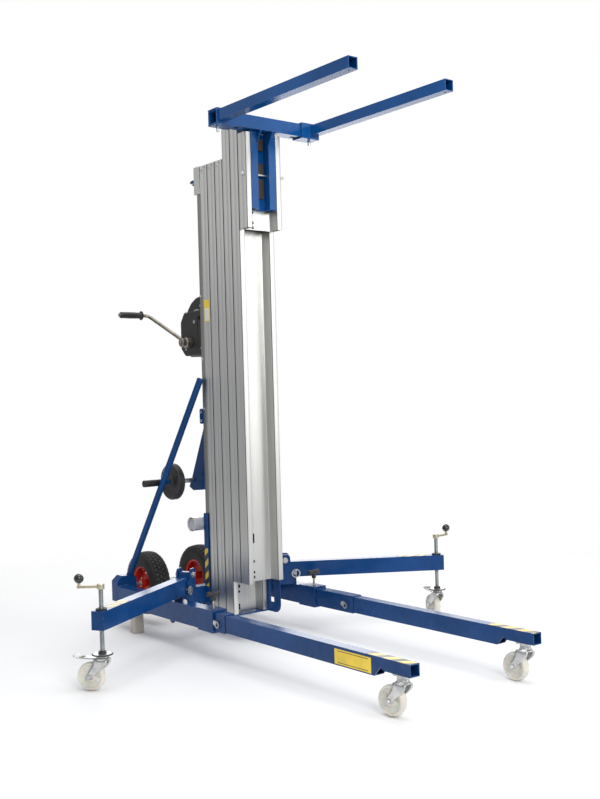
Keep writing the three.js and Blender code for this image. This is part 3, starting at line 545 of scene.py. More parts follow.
def channelLoops(halfWidth, depth):
    # outer loop with round corners and a shallow V down each side, then the two hollow chambers
    v = mastValues
    inner, recess, c = halfWidth - v["flange"], depth - v["wall"], v["corner"]
    middle, g = depth / 2, v["groove"]
    notch = np.array([(halfWidth, middle - g), (halfWidth - v["grooveDepth"], middle),
                      (halfWidth, middle + g)])
    outer = [*arcPoints((halfWidth - c, c), c, -90, 0, 4), *notch,
             *arcPoints((halfWidth - c, depth - c), c, 0, 90, 4),
             *arcPoints((c - halfWidth, depth - c), c, 90, 180, 4), *(notch[::-1] * (-1, 1)),
             *arcPoints((c - halfWidth, c), c, 180, 270, 4), *arcPoints((-inner - c, c), c, 270, 360, 4),
             *arcPoints((c - inner, recess - c), c, 180, 90, 4), *arcPoints((inner - c, recess - c), c, 90, 0, 4),
             *arcPoints((inner + c, c), c, 180, 270, 4)]
    hollow = roundedRectangle(v["flange"] - 2 * v["wall"], depth - 2 * v["wall"], v["chamberCorner"], 3)
    chambers = [(hollow + (side * (halfWidth + inner) / 2, middle))[::-1] for side in (-1, 1)]
    return np.array(outer), chambers


def sectionFrame(node):
    low, high = boxOf(node)
    centreX, halfWidth = (low[0] + high[0]) / 2, (high[0] - low[0]) / 2
    return low, high, centreX, halfWidth


def makeProfile(node, label, shoeTop=None):
    # one extrusion, and the sliding shoe behind its web up to shoeTop
    v = mastValues
    low, high, centreX, halfWidth = sectionFrame(node)
    body = bodyOfNode[node]
    outer, chambers = channelLoops(halfWidth, sectionDepth)
    profile = plateShape(outer, low[2], high[2], origin=(centreX, low[1], 0), holes=chambers)
    makePiece(f"{label}_extrusion", profile, body, aluminium, smooth=30, replaces=(node,))
    if shoeTop:
        width = 2 * (halfWidth - v["flange"] - v["play"])
        front = low[1] + sectionDepth + v["gap"]
        block = plateShape(roundedRectangle(width, high[1] - front, v["shoeCorner"], 3), low[2] + v["shoeFoot"],
                           shoeTop, origin=(centreX, (front + high[1]) / 2, 0))
        makePiece(f"{label}_shoe", block, body, darkBlockAndHoleShade, bevel=0.001)


def makeRearRails():
    # two fins behind the fixed section
    v = mastValues
    low, high, centreX, halfWidth = sectionFrame("mast_section_1")
    depth = v["behind"]
    outline = roundedRectangle(v["fin"], depth + 0.001, 0.0012, 3)
    fins = [plateShape(outline, low[2], high[2], origin=(centreX + side * (halfWidth - v["finInset"]),
                                                         low[1] + sectionDepth + depth / 2 - 0.0005, 0))
            for side in (-1, 1)]
    makePiece("mast_rear_rails", fins, "base", railAluminium)


webValues = {"hole": 0.0058, "raised": 0.0006, "holeX": 0.024, "slotX": 0.026, "slotWidth": 0.016,
             "corner": 0.004, "nearEnd": 0.008, "kept": 0.012}
webPlaces = {"mast_section_5": ((0.330, 0.286, 0.266), 0.424, 0.040),
             "mast_section_3": ((0.192, 0.136, 0.094), 0.2145, 0.014),
             "carriage": ((1.743, 1.702, 1.682), 1.79, 0.040)}  # heights of holes, then slot height and length


def webDetails():
    # dark discs and slots low in the web, painted shade that stands for the holes there
    v = webValues
    for node, (places, slotZ, slotLength) in webPlaces.items():
        low, high, centreX, halfWidth = sectionFrame(node)
        face = low[1] + sectionDepth - mastValues["wall"]
        heights = [z if z >= low[2] + v["nearEnd"] else low[2] + v["kept"] for z in places]
        shapes = [discShape((centreX - v["holeX"], face, z), (0, -1, 0), v["hole"], v["raised"], 20)
                  for z in heights]
        outline = roundedRectangle(v["slotWidth"], slotLength, v["corner"], 5)
        shapes.append(plateShape(outline, 0, 0.0007, frontFace, (centreX - v["slotX"], face, slotZ)))
        makePiece(f"{node}_web_hole_shade", shapes, bodyOfNode[node], darkBlockAndHoleShade)


screwHead = [(0, 0), (0.0042, 0), (0.0040, 0.0012), (0.0028, 0.0022), (0.0014, 0.0024), (0.0014, 0.0012),
             (0, 0.0012)]
screwSpots = ((0.3, 0.010), (0.68, 0.018))  # share of the depth, and distance below the top


def sideScrews():
    # button-head screws through the sides near the top of each section
    for number in range(1, 6):
        node = f"mast_section_{number}"
        low, high, centreX, halfWidth = sectionFrame(node)
        shapes = [turned(screwHead, (centreX + side * halfWidth, low[1] + sectionDepth * share, high[2] - drop),
                         (side, 0, 0), 20) for side in (-1, 1) for share, drop in screwSpots]
        makePiece(f"section_{number}_screws", shapes, bodyOfNode[node], zinc)


low, high = boxOf("mast_section_1")
sectionDepth = high[1] - low[1] - mastValues["behind"]
makeRearRails()
for number in range(1, 6):
    node = f"mast_section_{number}"
    makeProfile(node, f"section_{number}", boxOf(node)[0][2] + mastValues["shoe"] if number > 1 else None)

bracketValues = {"recess": 0.038, "padX": 0.002, "padWidth": 0.046, "padThick": 0.010, "padCorner": 0.006,
                 "pads": ((1.990, 2.038), (1.893, 1.939), (1.797, 1.875))}
pinBoss = [(0.0062, 0), (0.0115, 0), (0.0115, 0.0018), (0.0108, 0.0026), (0.0062, 0.0026), (0.0062, 0)]


def makeCarriage():
    # rubber pads down the middle of the bracket, and round bosses where the lock pin passes
    v = bracketValues
    low, high, centreX, halfWidth = sectionFrame("carriage")
    makeProfile("carriage", "carriage", high[2] - mastValues["carriageShoe"])
    pads = [plateShape(roundedRectangle(v["padWidth"], z1 - z0, v["padCorner"], 5), 0, v["padThick"], frontFace,
                       (centreX - v["padX"], low[1] + v["recess"], (z0 + z1) / 2)) for z0, z1 in v["pads"]]
    makePiece("bracket_pads", pads, "carriage", brownRubber, bevel=0.002, segments=3)
    pinY, pinZ = middleOf("carriage_lock_pin")[1:]
    rings = [turned(pinBoss, (centreX + side * halfWidth, pinY, pinZ), (side, 0, 0), 28) for side in (-1, 1)]
    makePiece("pin_bosses", rings, "carriage", zinc)


makeCarriage()
webDetails()
sideScrews()
# the carriage bracket and crossbar take the lighter blue, painted light
softenNode("carriage_bracket", litBluePaint)
softenNode("crossbar", litBluePaint, 0.0022)
softenNode("head_bracket", aluminiumMaterial("bracketAluminium", (0.70, 0.70, 0.67), (1.0, 1.0, 0.01)))
print("mast ready")


softenedSteel = ("rail_left", "rail_right", "cross_beam", "mast_post", "leg_socket_left", "leg_socket_right",
                 "leg_left", "leg_right", "stabiliser_arm_left", "stabiliser_arm_right", "fork_left",
                 "fork_right", "brace_left", "brace_right")
# the forks take the lighter blue, painted light; the rest of the frame takes the plain blue paint
for node in softenedSteel:
    softenNode(node, litBluePaint if "fork" in node else blue, 0.0012 if "brace" in node else 0.0022)
for side in sideNames:
    softenNode(f"rear_foot_{side}", footGrey, 0.003)


def weldBead(start, end, radius=0.0028, step=0.0045):
    # a bead that swells and narrows along its run
    start, end = np.asarray(start, float), np.asarray(end, float)
    length = np.linalg.norm(end - start)
    count = max(8, int(length / step) * 4)
    t = np.linspace(0, 1, count)
    swell = 0.82 + 0.18 * np.cos(2 * np.pi * t * length / step)
    swell[0] = swell[-1] = 0.3
    path = start + t[:, None] * (end - start)
    hint = up if abs((end - start)[2]) < 0.9 * length else (1.0, 0.0, 0.0)
    return alongPath(circlePoints(radius, 8), path, hint, swell)


weldValues = {"inset": 0.004, "postInset": 0.006, "railX": 0.032, "capHalf": 0.028, "capTop": 0.186,
              "capBottom": 0.122, "short": 0.002, "drop": 0.004}


def frameWelds():
    # beads where the cross beam meets the rails and post, and where the brackets close the rails
    v = weldValues
    low, high = boxOf("cross_beam")
    beads = []
    for x in (low[0], high[0]):
        for y in (low[1], high[1]):
            beads.append(weldBead((x, y, low[2] + v["inset"]), (x, y, high[2] - v["inset"])))
        beads.append(weldBead((x, low[1], high[2]), (x, high[1], high[2])))
    postLow, postHigh = boxOf("mast_post")
    beads.append(weldBead((postLow[0] + v["postInset"], low[1], high[2]),
                          (postHigh[0] - v["postInset"], low[1], high[2])))
    for side in sideNames:
        railLow, railHigh = boxOf(f"rail_{side}")
        x, y = railLow[0] + v["railX"] if side == "left" else railHigh[0] - v["railX"], railHigh[1]
        reach = v["capHalf"] - v["short"]
        beads.append(weldBead((x - reach, y, v["capTop"]), (x + reach, y, v["capTop"])))
        for dx in (-v["capHalf"], v["capHalf"]):
            beads.append(weldBead((x + dx, y, v["capBottom"]), (x + dx, y, v["capTop"] - v["drop"])))
    makePiece("frame_welds", beads, "base", blue)


frameWelds()

tabValues = {"radius": 0.017, "rise": 0.030, "thick": 0.006, "railX": 0.028, "inward": 0.022,
             "y": 0.440, "z": 0.096}


def railTabs():
    # a rounded tab hangs under each rail behind its collar
    v = tabValues
    r, half = v["radius"], v["thick"] / 2
    outline = np.concatenate([[(r, v["rise"]), (-r, v["rise"])], arcPoints((0, 0), r, 180, 360, 12)])
    tabs = []
    for side, sign in (("left", 1), ("right", -1)):
        low, high = boxOf(f"rail_{side}")
        x = (low[0] + v["railX"] if side == "left" else high[0] - v["railX"]) + sign * v["inward"]
        tabs.append(plateShape(outline, -half, half, ((0, 1, 0), (0, 0, 1), (1, 0, 0)), (x, v["y"], v["z"])))
    makePiece("rail_tabs", tabs, "base", blue, bevel=0.0008)


railTabs()


def axisFrame(side):
    # a stabiliser arm's own directions: out along it, towards its front side, and its fold point
    joint = joints[f"arm_{side}_fold"]
    out = np.cross(up, joint["axis"])
    front = np.array(joints[f"arm_pin_{side}_pull"]["axis"], float)
    return np.array(joint["pos_m"], float), out, front


armValues = {"half": 0.024, "top": 0.280, "bottom": 0.214, "root": -0.015, "length": 0.718,
             "tape": (0.520, 0.640),
             "bolt": 0.0350, "washer": (0.0125, 0.002), "head": (0.019, 0.008), "pitch": 0.052,
             "hole": (0.150, 0.225, 0.0045)}
nutFlange = [(0.0098, 0.0002), (0.019, 0.0002), (0.0195, 0.001), (0.0195, 0.0042), (0.0185, 0.0056),
             (0.0098, 0.0056), (0.0098, 0.0002)]


def armDetails(side):
    pivot, out, front = axisFrame(side)
    body, v = f"arm_{side}", armValues
    root = np.array((pivot[0], pivot[1], 0.0)) + v["root"] * out
    bolts = []
    for way in (-front, front):  # a washer and a hexagon at each end of the pivot bolt
        face = pivot + way * v["bolt"]
        bolts += [discShape(face - way * 0.0030, way, *v["washer"], 28),
                  hexShape(face - way * 0.001, way, *v["head"])]
    makePiece(f"arm_{side}_pivot_bolt", bolts, body, zinc, bevel=0.0005)
    tapeStart, tapeEnd = v["tape"]
    outline = roundedRectangle(tapeEnd - tapeStart, 2 * v["half"] - 0.008, 0.001, 2)
    place = root + (tapeStart + tapeEnd) / 2 * out + v["top"] * up
    makePiece(f"arm_{side}_tape", plateShape(outline, 0, 0.0004, (out, front, up), place), body,
              stripeMaterial(f"armTape_{side}", out + front, v["pitch"]))
    outline = roundedRectangle(2 * v["half"] - 0.003, v["top"] - v["bottom"] - 0.003, 0.003, 4)
    place = root + v["length"] * out + (v["top"] + v["bottom"]) / 2 * up
    cap = plateShape(outline, -0.0035, 0.0008, (front, up, out), place)
    makePiece(f"arm_{side}_cap", cap, body, blue, bevel=0.0005)
    screw = joints[f"jack_{side}_screw"]["pos_m"]
    nut = turned(nutFlange, (screw[0], screw[1], v["top"]), up, 36)
    makePiece(f"jack_{side}_nut", nut, body, castBlack)
    # a dark disc on the arm's front side, painted shade standing for a hole
    along, height, radius = v["hole"]
    hole = discShape(root + along * out + v["half"] * front + height * up, front, radius, 0.0004, 20)
    makePiece(f"arm_{side}_hole", hole, body, darkBlockAndHoleShade)


for side in sideNames:
    armDetails(side)


jackValues = {"footZ": 0.125, "footRadius": 0.037, "screw": 0.0082, "bottom": 0.1385, "top": 0.364,
              "pitch": 0.004, "thread": 0.0011, "hubZ": 0.352, "bar": (0.357, 0.3655), "barHalf": 0.0075,
              "shank": (0.356, 0.376, 0.005), "crank": 0.075, "ball": 0.017, "ballZ": 0.390}
jackWasher = [(0.0148, 0.0040), (0.0330, 0.0040), (0.0330, 0.0048), (0.0148, 0.0054), (0.0148, 0.0040)]
jackHub = [(0, 0), (0.0125, 0), (0.013, 0.001), (0.013, 0.017), (0.012, 0.018), (0, 0.018)]


def threadShape(centre, radius, depth, low, high, pitch):
    # radius shrinks by depth times a triangle wave of (height / pitch - angle / full turn)
    around, rows = 24, int((high - low) / (pitch / 4)) + 1
    z = np.linspace(low, high, rows)[:, None]
    a = np.linspace(0, 2 * np.pi, around, endpoint=False)[None, :]
    wave = np.abs(((z / pitch - a / (2 * np.pi)) % 1.0) * 2 - 1)
    r = radius - depth * wave
    points = np.stack([centre[0] + r * np.cos(a), centre[1] + r * np.sin(a), z + 0 * a], -1).reshape(-1, 3)
    faces = gridFaces(rows, around, False, True)
    faces += [list(range(around))[::-1], list(range((rows - 1) * around, rows * around))]
    return points, faces


def makeJack(side):
    v = jackValues
    x, y = joints[f"jack_{side}_screw"]["pos_m"][:2]
    foot, screwBody = f"jack_{side}", f"jack_screw_{side}"
    # the crank points from the screw to the middle of the ball, the topmost thing on its node
    source = pointsOf(screwBody)
    ballPoints = source[source[:, 2] > boxOf(screwBody)[1][2] - 0.012]
    toBall = ballPoints[:, :2].mean(0) - (x, y)
    out = np.array((*(toBall / np.linalg.norm(toBall)), 0.0))
    r = v["footRadius"]
    plate = [(0, 0), (r - 0.001, 0), (r, 0.001), (r, 0.003), (r - 0.001, 0.004), (0.0145, 0.004), (0.014, 0.0125),
             (0.013, 0.013), (0, 0.013)]
    makePiece(f"{foot}_plate", turned(plate, (x, y, v["footZ"]), up, 56), foot, castBlack,
              replaces=(f"jack_foot_{side}",))
    makePiece(f"{foot}_washer", turned(jackWasher, (x, y, v["footZ"]), up, 48), foot, zinc)
    thread = threadShape((x, y), v["screw"], v["thread"], v["bottom"], v["top"] - 0.008, v["pitch"])
    makePiece(f"{foot}_thread", thread, screwBody, screwSteel, smooth=60, replaces=(screwBody,))
    # hub, a flat bar with round ends, and the shank that the ball sits on
    half, reach = v["barHalf"], v["crank"]
    outline = np.concatenate([arcPoints((reach, 0), half, -90, 90, 9), arcPoints((0, 0), half, 90, 270, 9)])
    bar = plateShape(outline, *v["bar"], (out, np.cross(up, out), up), (x, y, 0))
    end = np.array((x, y, 0)) + reach * out
    shankLow, shankHigh, shankRadius = v["shank"]
    shank = rodShape((*end[:2], shankLow), (*end[:2], shankHigh), shankRadius, 20)
    makePiece(f"{foot}_crank", [turned(jackHub, (x, y, v["hubZ"]), up, 32), bar, shank], screwBody,
              yellowZinc, bevel=0.0006)
    knob = arcPoints((0, 0), v["ball"], -68, 90, 16)
    knob = np.concatenate([[(0, knob[0, 1])], knob[:-1], [(0, v["ball"])]])
    makePiece(f"{foot}_ball", turned(knob, (*end[:2], v["ballZ"]), up, 40), screwBody, ballBlack,
              smooth=50)


for side in sideNames:
    makeJack(side)
print("jacks ready")


castorValues = {"radius": 0.050, "width": 0.030, "crown": 0.004, "hub": 0.0135, "top": 0.112, "gap": 0.0195,
                "metal": 0.003, "cheekZ": 0.0435, "endHalf": 0.0130, "topFront": -0.0230, "topRear": 0.0270,
                "plate": (0.1345, 0.1378), "bolts": (0.0135, 0.023), "rib": (0.020, 0.0026, 0.0035)}


def yokeShape(trail):
    # a strip over the wheel: up one cheek, across the top, down the other; its front and rear
    # edges run from the wide top to the narrow axle end
    v = castorValues
    g, t, r, foot = v["gap"], v["top"] - v["metal"] / 2, 0.008, v["cheekZ"]
    left = np.array([(-g, z) for z in np.linspace(foot, t - r, 10)])
    corner = arcPoints((-g + r, t - r), r, 180, 90, 6)
    top = np.array([(y, t) for y in np.linspace(-g + r, g - r, 6)])[1:-1]
    path = np.concatenate([left, corner, top, corner[::-1] * (-1, 1), left[::-1] * (-1, 1)])
    share = np.clip((path[:, 1] - foot) / (t - r - foot), 0, 1)
    ease = share * share * (3 - 2 * share)
    front = trail - v["endHalf"] + ease * (v["topFront"] - trail + v["endHalf"])
    rear = trail + v["endHalf"] + ease * (v["topRear"] - trail - v["endHalf"])
    u = np.linspace(0, 1, 7)[None, :]
    x = front[:, None] * (1 - u) + rear[:, None] * u
    points = np.stack([x, np.repeat(path[:, :1], 7, 1), np.repeat(path[:, 1:], 7, 1)], -1)
    return points.reshape(-1, 3), gridFaces(len(path), 7)


def pressedMetal(piece, thickness):
    solid = piece.modifiers.new("metal", "SOLIDIFY")
    solid.thickness, solid.offset = thickness, 0.0


def makeCastor(kind, side):
    v = castorValues
    label = f"{kind}_{side}"
    swivel = np.array(joints[f"{kind}_castor_{side}_swivel"]["pos_m"], float)
    roll = joints[f"{kind}_wheel_{side}_roll"]
    wheel = np.array(roll["pos_m"], float)
    axisY = np.array(roll["axis"], float)
    axisX = np.array((wheel[0] - swivel[0], wheel[1] - swivel[1], 0.0))
    trail = np.linalg.norm(axisX)
    axisX /= trail
    base = np.array((swivel[0], swivel[1], 0.0))
    forkBody, wheelBody = f"{kind}_castor_{side}", f"{kind}_wheel_{side}"
    node = f"castor_fork_{label}"
    top = boxOf(node)[1][2]
    # pressed fork with thickness, then its races, axle and nuts
    yoke = placeShape(yokeShape(trail), base, axisX, axisY)
    piece = makePiece(f"{node}_yoke", yoke, forkBody, zinc, smooth=50, replaces=(node,))
    pressedMetal(piece, v["metal"])
    t = v["top"]
    race = [(0, t - 0.004), (0.021, t - 0.004), (0.0235, t - 0.001), (0.0235, t + 0.002), (0.0205, t + 0.005),
            (0.0205, t + 0.0065), (0.0195, t + 0.0085), (0.0195, top - 0.0005), (0, top)]
    shapes = [turned(race, base, up, 44)]
    for sign in (-1, 1):
        face = wheel + sign * axisY * (v["gap"] + v["metal"] / 2)
        shapes.append(discShape(face, sign * axisY, 0.0095, 0.0014, 24))
        shapes.append(hexShape(face + sign * axisY * 0.0014, sign * axisY, 0.013, 0.0055))
    shapes.append(rodShape(wheel - axisY * 0.027, wheel + axisY * 0.0275, 0.0042, 16))
    makePiece(f"{node}_race", shapes, forkBody, zinc, smooth=40)
    # wheel: crowned tread, side faces dished between rim and hub
    w, r = v["width"] / 2, v["radius"]
    tread = [(r - v["crown"] * (y / w) ** 2 - (0.0018 if abs(y) > 0.93 * w else 0), y)
             for y in np.linspace(-w, w, 13)]
    dish = [(0.0405, w), (0.0385, w - 0.0045), (0.0200, w - 0.0060), (0.0180, w - 0.0030), (v["hub"], w),
            (0.0060, w)]
    profile = [(radius, -y) for radius, y in dish[::-1]] + tread + dish
    profile = [*profile, profile[0]]
    ribLength, ribWidth, ribHeight = v["rib"]
    outline = roundedRectangle(ribLength, ribWidth, 0.0008, 2)
    ribs = []
    for k in range(8):  # short ribs in the dish, one every 45 degrees
        ray = math.cos(k * math.pi / 4) * axisX + math.sin(k * math.pi / 4) * up
        for way in (-axisY, axisY):
            middle = wheel + 0.0285 * ray + way * (w - 0.0068)
            ribs.append(plateShape(outline, 0, ribHeight, (ray, np.cross(axisY, ray), way), middle))
    makePiece(f"castor_wheel_{label}_tread", [turned(profile, wheel, axisY, 72), *ribs], wheelBody,
              nylon, smooth=40, replaces=(f"castor_wheel_{label}",))
    return base, axisX, axisY, forkBody


for side in sideNames:
    base, axisX, axisY, forkBody = makeCastor("front", side)
    # top plate under the leg, held by four bolts: it stays with the leg
    plateLow, plateHigh = castorValues["plate"]
    boltX, boltY = castorValues["bolts"]
    shapes = [plateShape(roundedRectangle(0.040, 0.060, 0.006, 5), plateLow, plateHigh, origin=base)]
    shapes += [hexShape(base + (dx, dy, plateLow), -up, 0.008, 0.004) for dx in (-boltX, boltX)
               for dy in (-boltY, boltY)]
    makePiece(f"castor_plate_{side}", shapes, f"leg_{side}", zinc, bevel=0.0005)
    base, axisX, axisY, forkBody = makeCastor("jack", side)
    # brake pedal: a tongue behind the fork, bent up at its tip, with three ribs across
    s = np.linspace(0, 1, 14)
    path = np.stack([0.018 + 0.086 * s, 0 * s, 0.1125 + 0.0015 * s + 0.028 * np.clip(s - 0.75, 0, 1) * s], -1)
    width = 0.0175 - 0.012 * np.clip(0.3 - s, 0, 1)
    strip = np.stack([np.stack([path[:, 0], share * width, path[:, 2]], -1)
                      for share in np.linspace(-1, 1, 6)], 1)
    tongue = placeShape((strip.reshape(-1, 3), gridFaces(14, 6)), base, axisX, axisY)
    pressedMetal(makePiece(f"brake_pedal_{side}", tongue, forkBody, zinc, smooth=50), 0.0028)
    ribs = []
    for x in (0.072, 0.080, 0.088):
        middle = base + axisX * x + up * 0.1155
        ribs.append(rodShape(middle - axisY * 0.014, middle + axisY * 0.014, 0.0016, 8))
    makePiece(f"pedal_ribs_{side}", ribs, forkBody, yellowZinc)
print("castors ready")


wheelValues = {"radius": 0.140, "width": 0.084, "rim": 0.074, "hub": 0.017, "blocks": 40, "treadHalf": 0.0325,
               "row": 0.017, "edge": 0.0345, "shoulder": 0.116, "deep": 0.0058, "shallow": 0.003,
               "boltCircle": 0.045, "axle": 0.0098}
hubCap = [(0, 0.037), (0.014, 0.037), (0.0145, 0.039), (0.0120, 0.0415), (0, 0.0415)]


def tyreShape(centre):
    # (x, radius) section from bead to tread and back, with groove depth cut where the block pattern is low
    v = wheelValues
    half, r = v["width"] / 2, v["radius"]
    side = np.array([(-0.030, v["rim"]), (-0.036, v["rim"] + 0.004), (-0.0405, 0.092), (-half, 0.106),
                     (-half + 0.0005, 0.119), (-0.0375, 0.130), (-0.034, 0.1355)])
    x = np.linspace(-v["treadHalf"], v["treadHalf"], 25)
    tread = np.stack([x, r - 0.0045 * (x / v["treadHalf"]) ** 2], -1)
    section = np.concatenate([side, tread, side[::-1] * (-1, 1)])
    steps = v["blocks"] * 6
    a = np.linspace(0, 2 * np.pi, steps, endpoint=False)[:, None]
    s = section[None, :, 0] + 0 * a
    k = np.arange(steps)[:, None]
    share = (s + 2 * v["row"]) / v["row"]
    staggered = (k + 3 * (np.floor(share).astype(int) % 2)) % 6 == 0
    between = np.abs(share % 1.0 - 0.5) > 0.40
    onTread = np.abs(s) <= v["edge"]
    shoulder = (section[None, :, 1] > v["shoulder"]) & ~onTread & (k % 6 == 0)
    radius = section[None, :, 1] - v["deep"] * ((staggered | between) & onTread) - v["shallow"] * shoulder
    points = np.stack([centre[0] + s, centre[1] + radius * np.cos(a), centre[2] + radius * np.sin(a)], -1)
    return points.reshape(-1, 3), gridFaces(steps, len(section), True, True)


def makeWheel(side):
    v = wheelValues
    centre, body, h = middleOf(f"tyre_{side}"), f"wheel_{side}", wheelValues["hub"]
    outward = np.array((-1.0 if side == "left" else 1.0, 0, 0))
    makePiece(f"tyre_{side}_tread", tyreShape(centre), body, rubber, smooth=28,
              replaces=(f"tyre_{side}",))
    # rim: a pressed dish with its two flanges, and a hub tube
    rim = [(0.0735, -0.033), (0.0775, -0.033), (0.0775, -0.031), (0.0705, -0.027), (0.0680, -0.004),
           (0.0300, 0.006), (h, 0.007), (h, 0.010), (0.0300, 0.0095), (0.0690, 0.000), (0.0705, 0.027),
           (0.0775, 0.031), (0.0775, 0.033), (0.0735, 0.033), (0.0690, 0.030), (0.0665, 0.006),
           (0.0665, -0.030), (0.0735, -0.033)]
    hub = [(0.0108, -0.040), (h, -0.040), (h, 0.040), (0.0108, 0.040), (0.0108, -0.040)]
    makePiece(f"wheel_rim_{side}_dish", [turned(rim, centre, outward, 72), turned(hub, centre, outward, 36)],
              body, red, replaces=(f"wheel_rim_{side}",))
    bolts = []
    for k in range(5):
        a = math.radians(72 * k + 18)
        spot = centre + v["boltCircle"] * np.array((0, math.cos(a), math.sin(a))) + outward * 0.0055
        bolts.append(hexShape(spot, outward, 0.011, 0.006))
    bolts.append(turned(hubCap, centre, outward, 28))
    valveFoot, valveTip = centre + outward * 0.004 + 0.060 * up, centre + outward * 0.026 + 0.062 * up
    valve = rodShape(valveFoot, valveTip, 0.0026, 12)
    makePiece(f"rim_bolts_{side}", [*bolts, valve], body, zinc, bevel=0.0004)


for side in sideNames:
    makeWheel(side)
low, high = boxOf("wheel_axle")
x, y, z = middleOf("wheel_axle")
axle = rodShape((low[0], y, z), (high[0], y, z), wheelValues["axle"], 32, 0.0015)
makePiece("wheel_axle_bar", axle, "base", zinc, smooth=30, replaces=("wheel_axle",))
print("wheels ready")


clampValues = {"screw": 0.0048, "thread": 0.0006, "pitch": 0.0015, "screwTop": 0.224, "barHalf": 0.0285,
               "barZ": 0.2460, "bar": (0.0165, 0.022, 0.0075), "waist": 0.80}
clampNeck = [(0, 0.221), (0.0092, 0.221), (0.0098, 0.2225), (0.0085, 0.236), (0.0078, 0.243), (0, 0.243)]


def pinDetails(side):
    for kind in ("fork", "leg", "arm"):
        softenNode(f"{kind}_pin_{side}", zinc, 0.0007, smooth=40)
    v, body = clampValues, f"clamp_{side}"
    x, y = middleOf(f"clamp_knob_{side}")[:2]
    bottom = boxOf(f"clamp_knob_{side}")[0][2]
    shaft = threadShape((x, y), v["screw"], v["thread"], bottom, v["screwTop"], v["pitch"])
    makePiece(f"{body}_screw", shaft, body, yellowZinc, smooth=60)
    # moulded T-knob: a waisted bar over a round neck
    t = np.linspace(-1, 1, 25)
    path = np.stack([x + v["barHalf"] * t, 0 * t + y, 0 * t + v["barZ"]], -1)
    fat = v["waist"] + (1 - v["waist"]) * np.abs(t) ** 1.5
    fat[[0, -1]] *= 0.55
    fat[[1, -2]] *= 0.93
    bar = alongPath(roundedRectangle(*v["bar"], 5), path, up, fat)
    makePiece(f"{body}_knob", [bar, turned(clampNeck, (x, y, 0), up, 28)], body, blackPlastic,
              smooth=50, replaces=(f"clamp_knob_{side}",))


for side in sideNames:
    pinDetails(side)
softenNode("carriage_lock_pin", zinc, 0.0006)
print("pins ready")


def facePlate(name, centre, width, height, axes, body, slot, material, thick=0.0004, corner=0.002):
    shape = plateShape(roundedRectangle(width, height, corner, 4), 0, thick, axes, centre)
    return makePiece(name, shape, body, material)


labelValues = {"tape": (0.036, 0.200), "tapeY": 0.1025, "leg": (0.178, 0.050), "legY": -0.729, "legZ": 0.1445,
               "rule": (0.150, 0.0022), "ruleRise": 0.019, "mast": (0.037, 0.090), "mastY": 0.0285,
               "mastZ": 1.367, "panel": (0.028, 0.052), "panelZ": 1.352, "film": 0.0004, "ink": 0.0001,
               "post": (0.024, 0.159), "postY": 0.4396, "postZ": 0.2875}
legTape = stripeMaterial("legTape", (0.55, 0.835, 0.0), 0.056)
yellowPrint = mouldedMaterial("yellowLabel", (0.78, 0.55, 0.02), roughness=0.35, grain=900.0, strength=0.05,
                              dust=0.15, coat=0.3)
for side in sideNames:
    low, high = boxOf(f"leg_{side}")
    place = ((low[0] + high[0]) / 2, low[1] + labelValues["tapeY"], high[2])
    facePlate(f"leg_{side}_tape", place, *labelValues["tape"], np.eye(3), f"leg_{side}", "blue_paint", legTape)
v = labelValues
low, high = boxOf("leg_left")
facePlate("leg_label", (low[0], v["legY"], v["legZ"]), *v["leg"], leftFace, "leg_left", "blue_paint",
          yellowPrint)
blackPrint = mouldedMaterial("labelInk", (0.01, 0.01, 0.01), roughness=0.4, grain=900.0, strength=0.05,
                             dust=0.1)
marks = [plateShape(roundedRectangle(*v["rule"], 0.0008, 2), 0, v["ink"], leftFace,
                    (low[0] - v["film"], v["legY"], v["legZ"] + dz)) for dz in (-v["ruleRise"], v["ruleRise"])]
makePiece("leg_label_rules", marks, "leg_left", blackPrint)
low, high = boxOf("mast_section_1")
facePlate("mast_label", (low[0], low[1] + v["mastY"], v["mastZ"]), *v["mast"], leftFace, "base", "aluminium",
          yellowPrint)
panelGrey = mouldedMaterial("labelPanel", (0.62, 0.62, 0.60), roughness=0.4, grain=900.0, strength=0.05,
                            dust=0.1)
inset = plateShape(roundedRectangle(*v["panel"], 0.002, 3), 0, v["ink"], leftFace,
                   (low[0] - v["film"], low[1] + v["mastY"], v["panelZ"]))
makePiece("mast_label_panel", inset, "base", panelGrey)
low, high = boxOf("mast_post")
postTape = stripeMaterial("postTape", (0.0, 0.62, 0.78), 0.040)
for side, sign, x in (("left", -1, low[0]), ("right", 1, high[0])):
    facePlate(f"post_tape_{side}", (x, v["postY"], v["postZ"]), *v["post"],
              ((0, -sign, 0), (0, 0, 1), (sign, 0, 0)), "base", "blue_paint", postTape)
print("labels ready")


winchValues = {"step": 0.026, "caseDrop": 0.062, "toMast": 0.006, "plateWidth": 0.100, "railBoltY": 0.010,
               "clampY": 0.460, "clampZ": 0.9245, "studs": (0.906, 0.943), "lowBoltZ": 0.955}
studHead = [(0, 0), (0.006, 0), (0.006, 0.003), (0.0045, 0.0045), (0, 0.0045)]


